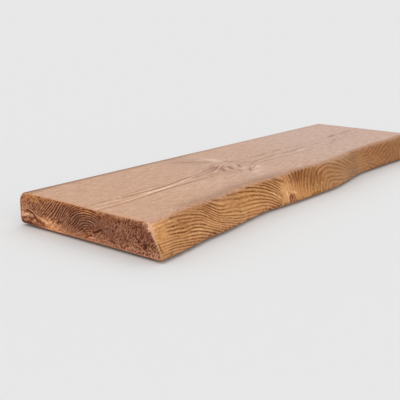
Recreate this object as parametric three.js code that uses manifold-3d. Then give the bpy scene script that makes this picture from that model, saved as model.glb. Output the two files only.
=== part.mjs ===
import * as THREE from 'three';
import { mergeVertices } from 'three/addons/utils/BufferGeometryUtils.js';
import Module from 'manifold-3d';

// Floating wall shelf: one solid plank with a natural (waney) front edge.
// It slides onto steel rods that stand out of three wall plates. Each plate
// lies in a pocket routed into the back edge, so the plank meets the wall.
// Millimetres. X runs along the shelf, Y into the wall and Z up.
// The origin is on the wall, at the centre of the middle plate's back.

// Plank
const PLANK_LENGTH = 800;
const PLANK_DEPTH = 268;
const PLANK_THICKNESS = 45;
const BACK_TOP_ROUND = 13;
const BACK_FOOT_ROUND = 6;
const FRONT_FOOT_ROUND = 4;
const END_EASE = 4;
const STATION_PITCH = 12;
const CORNER_STEPS = 5;
const END_STEPS = 3;

// Natural edge. Each row holds the place along the plank as a share of its
// length, then how far the top face, the belly and the foot reach as shares
// of its depth, and the rounding of the top arris as a share of the thickness.
const WANEY_EDGE_SHARES = [
  [0.00, 0.922, 0.966, 1.000, 0.10],
  [0.03, 0.917, 0.961, 0.996, 0.12],
  [0.06, 0.901, 0.950, 0.986, 0.16],
  [0.09, 0.884, 0.940, 0.974, 0.20],
  [0.13, 0.886, 0.930, 0.953, 0.22],
  [0.16, 0.886, 0.925, 0.947, 0.16],
  [0.19, 0.893, 0.923, 0.940, 0.13],
  [0.23, 0.868, 0.911, 0.925, 0.20],
  [0.27, 0.857, 0.899, 0.907, 0.24],
  [0.31, 0.848, 0.888, 0.894, 0.22],
  [0.34, 0.850, 0.883, 0.889, 0.14],
  [0.37, 0.859, 0.888, 0.896, 0.11],
  [0.41, 0.847, 0.889, 0.904, 0.14],
  [0.45, 0.834, 0.885, 0.911, 0.18],
  [0.50, 0.845, 0.889, 0.911, 0.16],
  [0.54, 0.855, 0.893, 0.910, 0.14],
  [0.58, 0.855, 0.890, 0.907, 0.18],
  [0.62, 0.852, 0.878, 0.892, 0.20],
  [0.66, 0.836, 0.859, 0.873, 0.16],
  [0.70, 0.815, 0.839, 0.852, 0.13],
  [0.75, 0.813, 0.829, 0.832, 0.14],
  [0.80, 0.808, 0.828, 0.832, 0.16],
  [0.85, 0.809, 0.828, 0.836, 0.18],
  [0.89, 0.816, 0.832, 0.837, 0.14],
  [0.95, 0.801, 0.829, 0.847, 0.16],
  [1.00, 0.799, 0.832, 0.854, 0.12],
];
const BELLY_HEIGHT_SHARE = 0.45;
const BELLY_ROUND_SHARE = 0.22;

// Wall supports: one in the middle and one near each end
const SUPPORT_END_INSET = 110;
const SUPPORT_SPREAD = PLANK_LENGTH / 2 - SUPPORT_END_INSET;
const SUPPORT_PLACES = [
  { name: 'left', x: -SUPPORT_SPREAD },
  { name: 'middle', x: 0 },
  { name: 'right', x: SUPPORT_SPREAD },
];

// Wall plate, cut from flat bar with round ends
const PLATE_LENGTH = 100;
const PLATE_HEIGHT = 22;
const PLATE_THICKNESS = 5;
const PLATE_CHAMFER = 0.6;
const PLATE_CURVE_STEPS = 8;

// Rod, with the weld fillet that joins it to the plate
const ROD_DIAMETER = 12;
const ROD_LENGTH = 140;
const ROD_TIP_CHAMFER = 1.5;
const WELD_LEG = 2.5;
const ROD_SIDES = 24;

// Wall screw, countersunk, with a six-lobed recess
const SCREW_LENGTH = 60;
const SCREW_HEAD_DIAMETER = 10;
const SCREW_HEAD_LAND = 0.5;
const SCREW_THREAD_DIAMETER = 5;
const SCREW_SHANK_DIAMETER = 3.6;
const SCREW_SHANK_LENGTH = 18;
const SCREW_POINT_LENGTH = 6;
const SCREW_POINT_DIAMETER = 0.8;
const SCREW_INSET_FROM_PLATE_END = 13;
const RECESS_DIAMETER = 4.4;
const RECESS_DEPTH = 2.2;
const RECESS_LOBES = 6;
const RECESS_STEPS_PER_LOBE = 4;
const RECESS_WAVE_SHARE = 0.12;
const SCREW_SIDES = 16;

// Wall plug, with ratchet ribs and slits that let its legs spread. It is set a
// little below the wall's face, so that the plate draws up tight.
const PLUG_DIAMETER = 8;
const PLUG_LENGTH = 50;
const PLUG_RECESS = 2.5;
const PLUG_NECK_LENGTH = 10;
const PLUG_RIBS = 5;
const PLUG_RIB_DEPTH = 0.4;
const PLUG_TIP_CHAMFER = 0.6;
const PLUG_SLIT_WIDTH = 1.2;
const PLUG_SOLID_LENGTH = 14;
const PLUG_SIDES = 14;

// Clearances
const SEAT_GAP = 0.3;
const ROD_CLEARANCE = 0.3;
const WELD_CLEARANCE = 0.5;
const PLUG_BORE_CLEARANCE = 0.3;
const SCREW_HOLE_CLEARANCE = 0.4;
const POCKET_CLEARANCE = 1;
const POCKET_DEPTH_CLEARANCE = 0.6;
const BORE_END_CLEARANCE = 5;
const DRILL_POINT_SHARE = 0.6;
const CUT_OVERRUN = 2;

// Heights and depths that follow from the sizes above
const BACK_FLAT_HEIGHT = PLANK_THICKNESS - BACK_TOP_ROUND - BACK_FOOT_ROUND;
const PLANK_FOOT = -(BACK_FOOT_ROUND + BACK_FLAT_HEIGHT / 2);
const PLANK_TOP = PLANK_FOOT + PLANK_THICKNESS;
const PLATE_FRONT = -PLATE_THICKNESS;
const ROD_FOOT = PLATE_FRONT - SEAT_GAP;
const ROD_TIP = ROD_FOOT - ROD_LENGTH;
const POCKET_FLOOR = PLATE_FRONT - POCKET_DEPTH_CLEARANCE;
const SCREW_SPREAD = PLATE_LENGTH / 2 - SCREW_INSET_FROM_PLATE_END;
const PLUG_MOUTH = PLUG_RECESS;
const PLUG_TIP = PLUG_MOUTH + PLUG_LENGTH;

const STEEL = { color: 0xb4b8bc, roughness: 0.38, metalness: 0.9 };
const SCREW_STEEL = { color: 0xc9bd92, roughness: 0.32, metalness: 0.9 };
const NYLON = { color: 0x8f9396, roughness: 0.55, metalness: 0 };
const WOOD = { color: 0xb98f6c, roughness: 0.72, metalness: 0 };

const wasm = await Module();
wasm.setup();

// A closed geometry as a solid that can be cut and joined
function solid(geometry) {
  const bare = geometry.clone();
  bare.deleteAttribute('normal');
  bare.deleteAttribute('uv');
  const merged = mergeVertices(bare);
  const vertProperties = new Float32Array(merged.attributes.position.array);
  const triVerts = new Uint32Array(merged.index.array);
  return new wasm.Manifold(new wasm.Mesh({ numProp: 3, vertProperties, triVerts }));
}

// A solid back as a geometry, with flat shading
function geometryOf(manifold) {
  const mesh = manifold.getMesh();
  const geometry = new THREE.BufferGeometry();
  geometry.setAttribute('position', new THREE.BufferAttribute(mesh.vertProperties, 3));
  geometry.setIndex(new THREE.BufferAttribute(mesh.triVerts, 1));
  const flat = geometry.toNonIndexed();
  flat.computeVertexNormals();
  return flat;
}

function part(name, geometry, finish) {
  const mesh = new THREE.Mesh(geometry, new THREE.MeshStandardMaterial(finish));
  mesh.name = name;
  return mesh;
}

// A profile of [radius, place along Y] turned about the Y axis. It starts and
// ends on the axis, or on the point it began with, and its outer side runs
// towards +Y.
function turned(profile, sides) {
  const points = profile.map(([radius, y]) => new THREE.Vector2(radius, y));
  return new THREE.LatheGeometry(points, sides);
}

// Flat bar with round ends, lying in XZ. It reaches from yFrom towards the wall
// by its thickness, with both rims chamfered.
function roundEndedBar(length, height, thickness, chamfer, yFrom) {
  const end = height / 2;
  const reach = length / 2 - end;
  const outline = new THREE.Shape();
  outline.absarc(reach, 0, end, -Math.PI / 2, Math.PI / 2, false);
  outline.absarc(-reach, 0, end, Math.PI / 2, 3 * Math.PI / 2, false);
  outline.closePath();
  const bar = new THREE.ExtrudeGeometry(outline, {
    depth: thickness - 2 * chamfer,
    curveSegments: PLATE_CURVE_STEPS,
    bevelEnabled: chamfer > 0,
    bevelSegments: 1,
    bevelThickness: chamfer,
    bevelSize: chamfer,
    bevelOffset: -chamfer,
  });
  bar.rotateX(Math.PI / 2);
  bar.translate(0, yFrom + thickness - chamfer, 0);
  return bar;
}

// A corner rounded by a true arc, as CORNER_STEPS + 1 points. The arc starts
// at the tangent distance from the corner, held back where a side is short.
function roundedCorner(before, corner, after, radius) {
  const inward = before.clone().sub(corner);
  const outward = after.clone().sub(corner);
  const angle = Math.abs(inward.angleTo(outward));
  const open = Math.min(angle, 2 * Math.PI - angle);
  const half = open / 2;
  const longest = Math.min(inward.length(), outward.length()) / 2;
  const tangent = Math.min(radius / Math.tan(half), longest);
  const start = corner.clone().add(inward.setLength(tangent));
  const finish = corner.clone().add(outward.setLength(tangent));
  const weight = Math.sin(half);
  const points = [];
  for (let step = 0; step <= CORNER_STEPS; step += 1) {
    const t = step / CORNER_STEPS;
    const a = (1 - t) * (1 - t);
    const b = 2 * weight * t * (1 - t);
    const c = t * t;
    const sum = a + b + c;
    points.push(new THREE.Vector2(
      (a * start.x + b * corner.x + c * finish.x) / sum,
      (a * start.y + b * corner.y + c * finish.y) / sum,
    ));
  }
  return points;
}

// The natural edge at one place along the plank, in millimetres
const waneyPlaces = new Float32Array(WANEY_EDGE_SHARES.map((row) => row[0]));
const waneyValues = new Float32Array(WANEY_EDGE_SHARES.flatMap((row) => row.slice(1)));
const waneyCurve = new THREE.CubicInterpolant(waneyPlaces, waneyValues, 4);

function waneyEdgeAt(x) {
  const along = THREE.MathUtils.clamp(x / PLANK_LENGTH + 1 / 2, 0, 1);
  const [top, belly, foot, arris] = waneyCurve.evaluate(along);
  return {
    top: top * PLANK_DEPTH,
    belly: belly * PLANK_DEPTH,
    foot: foot * PLANK_DEPTH,
    arris: arris * PLANK_THICKNESS,
  };
}

// Section of the plank in YZ at one place, drawn in by `inset` all round.
// It runs from the back's foot over the top to the front's foot.
function plankSection(x, inset) {
  const edge = waneyEdgeAt(x);
  const foot = PLANK_FOOT + inset;
  const top = PLANK_TOP - inset;
  const bellyHeight = PLANK_FOOT + BELLY_HEIGHT_SHARE * PLANK_THICKNESS;
  const corners = [
    { at: new THREE.Vector2(-inset, foot), round: BACK_FOOT_ROUND },
    { at: new THREE.Vector2(-inset, top), round: BACK_TOP_ROUND },
    { at: new THREE.Vector2(inset - edge.top, top), round: edge.arris },
    { at: new THREE.Vector2(inset - edge.belly, bellyHeight), round: PLANK_DEPTH * BELLY_ROUND_SHARE },
    { at: new THREE.Vector2(inset - edge.foot, foot), round: FRONT_FOOT_ROUND },
  ];
  return corners.flatMap((corner, index) => {
    const before = corners[(index + corners.length - 1) % corners.length].at;
    const after = corners[(index + 1) % corners.length].at;
    return roundedCorner(before, corner.at, after, corner.round);
  });
}

// Stations along the plank. Beyond its plain length the sections draw in along
// a quarter round, which eases the ends by END_EASE.
function plankStations() {
  const half = PLANK_LENGTH / 2;
  const plainHalf = half - END_EASE;
  const easing = [];
  for (let step = 1; step <= END_STEPS; step += 1) {
    const turn = (step / END_STEPS) * (Math.PI / 2);
    easing.push({
      reach: plainHalf + END_EASE * Math.sin(turn),
      inset: END_EASE * (1 - Math.cos(turn)),
    });
  }
  const bays = Math.max(2, Math.round(PLANK_LENGTH / STATION_PITCH));
  const stations = [];
  for (const { reach, inset } of [...easing].reverse()) {
    stations.push({ x: -reach, inset });
  }
  for (let bay = 0; bay <= bays; bay += 1) {
    stations.push({ x: plainHalf * (2 * bay / bays - 1), inset: 0 });
  }
  for (const { reach, inset } of easing) {
    stations.push({ x: reach, inset });
  }
  return stations;
}

// Skin through sections of equal point counts, closed by a flat cap at each end
function loft(stations, sectionAt) {
  const rings = stations.map(({ x, inset }) => sectionAt(x, inset));
  const count = rings[0].length;
  const positions = [];
  rings.forEach((ring, index) => {
    for (const point of ring) {
      positions.push(stations[index].x, point.x, point.y);
    }
  });
  const faces = [];
  for (let ring = 0; ring + 1 < rings.length; ring += 1) {
    for (let point = 0; point < count; point += 1) {
      const near = ring * count + point;
      const nearNext = ring * count + (point + 1) % count;
      faces.push(near, nearNext, nearNext + count);
      faces.push(near, nearNext + count, near + count);
    }
  }
  const last = (rings.length - 1) * count;
  for (const [a, b, c] of THREE.ShapeUtils.triangulateShape(rings[0], [])) {
    faces.push(a, c, b);
  }
  for (const [a, b, c] of THREE.ShapeUtils.triangulateShape(rings[rings.length - 1], [])) {
    faces.push(last + a, last + b, last + c);
  }
  const geometry = new THREE.BufferGeometry();
  geometry.setAttribute('position', new THREE.Float32BufferAttribute(positions, 3));
  geometry.setIndex(faces);
  return geometry;
}

// Cutters for one support: the routed pocket that hides the plate, and the
// blind bore for the rod, whose mouth opens out round the weld
function pocketCutter() {
  return roundEndedBar(
    PLATE_LENGTH + 2 * POCKET_CLEARANCE,
    PLATE_HEIGHT + 2 * POCKET_CLEARANCE,
    CUT_OVERRUN - POCKET_FLOOR,
    0,
    POCKET_FLOOR,
  );
}

function boreCutter() {
  const bore = ROD_DIAMETER / 2 + ROD_CLEARANCE;
  const mouth = ROD_DIAMETER / 2 + WELD_LEG + WELD_CLEARANCE;
  const end = ROD_TIP - BORE_END_CLEARANCE;
  return turned([
    [0, end - bore * DRILL_POINT_SHARE],
    [bore, end],
    [bore, ROD_FOOT - (mouth - bore)],
    [mouth, ROD_FOOT],
    [mouth, -CUT_OVERRUN],
    [0, -CUT_OVERRUN],
  ], ROD_SIDES);
}

function plankGeometry() {
  let plank = solid(loft(plankStations(), plankSection));
  for (const { x } of SUPPORT_PLACES) {
    for (const cutter of [pocketCutter(), boreCutter()]) {
      cutter.translate(x, 0, 0);
      plank = plank.subtract(solid(cutter));
    }
  }
  return geometryOf(plank);
}

// Plate with two countersunk screw holes; the screw heads finish flush with
// its front
function plateGeometry() {
  const head = SCREW_HEAD_DIAMETER / 2 + SCREW_HOLE_CLEARANCE;
  const hole = SCREW_THREAD_DIAMETER / 2 + SCREW_HOLE_CLEARANCE;
  const cone = PLATE_FRONT + SCREW_HEAD_LAND;
  let plate = solid(
    roundEndedBar(PLATE_LENGTH, PLATE_HEIGHT, PLATE_THICKNESS, PLATE_CHAMFER, PLATE_FRONT),
  );
  for (const side of [-1, 1]) {
    const countersink = turned([
      [0, PLATE_FRONT - CUT_OVERRUN],
      [head, PLATE_FRONT - CUT_OVERRUN],
      [head, cone],
      [hole, cone + head - hole],
      [hole, CUT_OVERRUN],
      [0, CUT_OVERRUN],
    ], SCREW_SIDES);
    countersink.translate(side * SCREW_SPREAD, 0, 0);
    plate = plate.subtract(solid(countersink));
  }
  return geometryOf(plate);
}

// Rod with a chamfered tip and, at its foot, the fillet of the weld
function rodGeometry() {
  const radius = ROD_DIAMETER / 2;
  return turned([
    [0, ROD_TIP],
    [radius - ROD_TIP_CHAMFER, ROD_TIP],
    [radius, ROD_TIP + ROD_TIP_CHAMFER],
    [radius, ROD_FOOT - WELD_LEG],
    [radius + WELD_LEG, ROD_FOOT],
    [0, ROD_FOOT],
  ], ROD_SIDES);
}

// Six-lobed driving recess, sunk from the head's top
function recessCutter() {
  const outline = new THREE.Shape();
  const steps = RECESS_LOBES * RECESS_STEPS_PER_LOBE;
  const middle = RECESS_DIAMETER / (2 * (1 + RECESS_WAVE_SHARE));
  for (let step = 0; step < steps; step += 1) {
    const turn = 2 * Math.PI * step / steps;
    const radius = middle * (1 + RECESS_WAVE_SHARE * Math.cos(RECESS_LOBES * turn));
    const x = radius * Math.cos(turn);
    const z = radius * Math.sin(turn);
    if (step === 0) {
      outline.moveTo(x, z);
    } else {
      outline.lineTo(x, z);
    }
  }
  outline.closePath();
  const cutter = new THREE.ExtrudeGeometry(outline, {
    depth: RECESS_DEPTH + CUT_OVERRUN,
    bevelEnabled: false,
  });
  cutter.rotateX(Math.PI / 2);
  cutter.translate(0, PLATE_FRONT + RECESS_DEPTH, 0);
  return cutter;
}

function screwGeometry() {
  const head = SCREW_HEAD_DIAMETER / 2;
  const shank = SCREW_SHANK_DIAMETER / 2;
  const thread = SCREW_THREAD_DIAMETER / 2;
  const point = SCREW_POINT_DIAMETER / 2;
  const underHead = PLATE_FRONT + SCREW_HEAD_LAND + head - shank;
  const shankEnd = PLATE_FRONT + SCREW_SHANK_LENGTH;
  const tip = PLATE_FRONT + SCREW_LENGTH;
  const screw = solid(turned([
    [0, PLATE_FRONT],
    [head, PLATE_FRONT],
    [head, PLATE_FRONT + SCREW_HEAD_LAND],
    [shank, underHead],
    [shank, shankEnd],
    [thread, shankEnd + thread - shank],
    [thread, tip - SCREW_POINT_LENGTH],
    [point, tip],
    [0, tip],
  ], SCREW_SIDES));
  return geometryOf(screw.subtract(solid(recessCutter())));
}

// Plug: a smooth neck at the wall's face, ribs that grip, and crossed slits
// that part the far end into four legs
function plugGeometry() {
  const outer = PLUG_DIAMETER / 2;
  const root = outer - PLUG_RIB_DEPTH;
  const bore = SCREW_THREAD_DIAMETER / 2 + PLUG_BORE_CLEARANCE;
  const neckEnd = PLUG_MOUTH + PLUG_NECK_LENGTH;
  const ribPitch = (PLUG_TIP - PLUG_TIP_CHAMFER - neckEnd) / PLUG_RIBS;
  const profile = [[bore, PLUG_MOUTH], [outer, PLUG_MOUTH], [outer, neckEnd]];
  for (let rib = 0; rib < PLUG_RIBS; rib += 1) {
    const start = neckEnd + rib * ribPitch;
    profile.push([root, start + PLUG_RIB_DEPTH]);
    profile.push([outer, start + ribPitch]);
  }
  profile.push([outer - PLUG_TIP_CHAMFER, PLUG_TIP]);
  profile.push([bore, PLUG_TIP]);
  profile.push([bore, PLUG_MOUTH]);
  let plug = solid(turned(profile, PLUG_SIDES));
  const slitStart = PLUG_MOUTH + PLUG_SOLID_LENGTH;
  const slitEnd = PLUG_TIP + CUT_OVERRUN;
  for (const turn of [0, Math.PI / 2]) {
    const slit = new THREE.BoxGeometry(
      PLUG_SLIT_WIDTH,
      slitEnd - slitStart,
      PLUG_DIAMETER + 2 * CUT_OVERRUN,
    );
    slit.translate(0, (slitStart + slitEnd) / 2, 0);
    slit.rotateY(turn);
    plug = plug.subtract(solid(slit));
  }
  return geometryOf(plug);
}

// Assembly
const shelf = new THREE.Group();
shelf.add(part('shelf_board', plankGeometry(), WOOD));

for (const { name, x } of SUPPORT_PLACES) {
  const support = new THREE.Group();
  support.position.set(x, 0, 0);
  support.add(part(`${name}_wall_plate`, plateGeometry(), STEEL));
  support.add(part(`${name}_rod`, rodGeometry(), STEEL));
  for (const [side, direction] of [['left', -1], ['right', 1]]) {
    const fixing = new THREE.Group();
    fixing.position.set(direction * SCREW_SPREAD, 0, 0);
    fixing.add(part(`${name}_plate_screw_${side}`, screwGeometry(), SCREW_STEEL));
    fixing.add(part(`${name}_wall_plug_${side}`, plugGeometry(), NYLON));
    support.add(fixing);
  }
  shelf.add(support);
}

export default shelf;
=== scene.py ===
import math

import bpy
import numpy as np
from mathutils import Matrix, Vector
from mathutils.geometry import delaunay_2d_cdt


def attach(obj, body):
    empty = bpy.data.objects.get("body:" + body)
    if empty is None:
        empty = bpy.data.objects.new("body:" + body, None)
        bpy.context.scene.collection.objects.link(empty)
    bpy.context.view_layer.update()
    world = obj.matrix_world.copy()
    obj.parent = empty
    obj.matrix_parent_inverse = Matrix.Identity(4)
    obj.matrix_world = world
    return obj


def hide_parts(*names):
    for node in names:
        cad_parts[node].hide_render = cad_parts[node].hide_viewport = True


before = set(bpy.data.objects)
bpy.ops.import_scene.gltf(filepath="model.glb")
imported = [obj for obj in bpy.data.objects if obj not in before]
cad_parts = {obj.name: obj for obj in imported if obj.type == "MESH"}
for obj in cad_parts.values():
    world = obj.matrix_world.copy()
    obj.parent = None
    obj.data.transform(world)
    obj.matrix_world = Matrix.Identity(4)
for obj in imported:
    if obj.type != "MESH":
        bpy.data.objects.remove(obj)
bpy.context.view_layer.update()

# A floating wall shelf: a solid pine plank with a natural edge, pushed onto
# steel rods that stand out of three wall plates.
# Blender works in metres. Everything down to the materials is in millimetres.
MM = 0.001

# Plank, with the sizes of the CAD source
LENGTH, DEPTH, THICKNESS = 800.0, 268.0, 45.0
BACK_TOP_ROUND, BACK_FOOT_ROUND, FRONT_FOOT_ROUND = 13.0, 6.0, 4.0
END_EASE = 4.0
FOOT = -(BACK_FOOT_ROUND + (THICKNESS - BACK_TOP_ROUND - BACK_FOOT_ROUND) / 2)
TOP = FOOT + THICKNESS
BELLY_HEIGHT_SHARE, BELLY_ROUND_SHARE = 0.45, 0.22

# Natural edge. Each row holds the place along the plank as a share of its
# length, then how far the top face, the belly and the foot reach as shares
# of its depth, and the rounding of the top arris as a share of the thickness.
WANEY_EDGE_SHARES = np.array([
    [0.00, 0.922, 0.966, 1.000, 0.10], [0.03, 0.917, 0.961, 0.996, 0.12],
    [0.06, 0.901, 0.950, 0.986, 0.16], [0.09, 0.884, 0.940, 0.974, 0.20],
    [0.13, 0.886, 0.930, 0.953, 0.22], [0.16, 0.886, 0.925, 0.947, 0.16],
    [0.19, 0.893, 0.923, 0.940, 0.13], [0.23, 0.868, 0.911, 0.925, 0.20],
    [0.27, 0.857, 0.899, 0.907, 0.24], [0.31, 0.848, 0.888, 0.894, 0.22],
    [0.34, 0.850, 0.883, 0.889, 0.14], [0.37, 0.859, 0.888, 0.896, 0.11],
    [0.41, 0.847, 0.889, 0.904, 0.14], [0.45, 0.834, 0.885, 0.911, 0.18],
    [0.50, 0.845, 0.889, 0.911, 0.16], [0.54, 0.855, 0.893, 0.910, 0.14],
    [0.58, 0.855, 0.890, 0.907, 0.18], [0.62, 0.852, 0.878, 0.892, 0.20],
    [0.66, 0.836, 0.859, 0.873, 0.16], [0.70, 0.815, 0.839, 0.852, 0.13],
    [0.75, 0.813, 0.829, 0.832, 0.14], [0.80, 0.808, 0.828, 0.832, 0.16],
    [0.85, 0.809, 0.828, 0.836, 0.18], [0.89, 0.816, 0.832, 0.837, 0.14],
    [0.95, 0.801, 0.829, 0.847, 0.16], [1.00, 0.799, 0.832, 0.854, 0.12]])

# Wall supports, with the sizes of the CAD source
SUPPORT_END_INSET = 110.0
PLATE_LENGTH, PLATE_HEIGHT, PLATE_THICKNESS = 100.0, 22.0, 5.0
ROD_DIAMETER, ROD_LENGTH, WELD_LEG = 12.0, 140.0, 2.5
SEAT_GAP, ROD_CLEARANCE, WELD_CLEARANCE = 0.3, 0.3, 0.5
POCKET_CLEARANCE, POCKET_DEPTH_CLEARANCE = 1.0, 0.6
BORE_END_CLEARANCE, DRILL_POINT_SHARE = 5.0, 0.6

# Pockets and bores behind them, with floors counted from the wall
SUPPORT_PLACES = (SUPPORT_END_INSET - LENGTH / 2, 0.0, LENGTH / 2 - SUPPORT_END_INSET)
POCKET_LENGTH = PLATE_LENGTH + 2 * POCKET_CLEARANCE
POCKET_HEIGHT = PLATE_HEIGHT + 2 * POCKET_CLEARANCE
POCKET_FLOOR = -(PLATE_THICKNESS + POCKET_DEPTH_CLEARANCE)
BORE_RADIUS = ROD_DIAMETER / 2 + ROD_CLEARANCE
MOUTH_RADIUS = ROD_DIAMETER / 2 + WELD_LEG + WELD_CLEARANCE
MOUTH_FLOOR = -(PLATE_THICKNESS + SEAT_GAP)
BORE_END = MOUTH_FLOOR - ROD_LENGTH - BORE_END_CLEARANCE
DRILL_POINT = DRILL_POINT_SHARE * BORE_RADIUS

# How finely the plank is meshed: fine where the photograph is close
NEAR_PITCH, FAR_PITCH, NEAR_REACH = 1.05, 2.7, 345.0
END_ROWS, CORNER_STEPS, ARC_STEPS = 5, 10, 12
FRONT_ROWS, BOTTOM_ROWS, TOP_LAST_ROWS = 66, 9, 10
TOP_FINE_FROM, TOP_FINE_TO, TOP_FINE_PITCH, TOP_PITCH = 96.0, 174.0, 1.5, 6.5
NEAR_END_PITCH, FAR_END_PITCH, ROW_PITCH_SHARE = 1.05, 1.7, 0.87
END_CLEARANCE_SHARE = 0.55
STADIUM_STEPS, CIRCLE_STEPS = 14, 48
# Angle in degrees from which an edge of the mesh is shaded sharp
SHARP_ANGLE = 50

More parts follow.
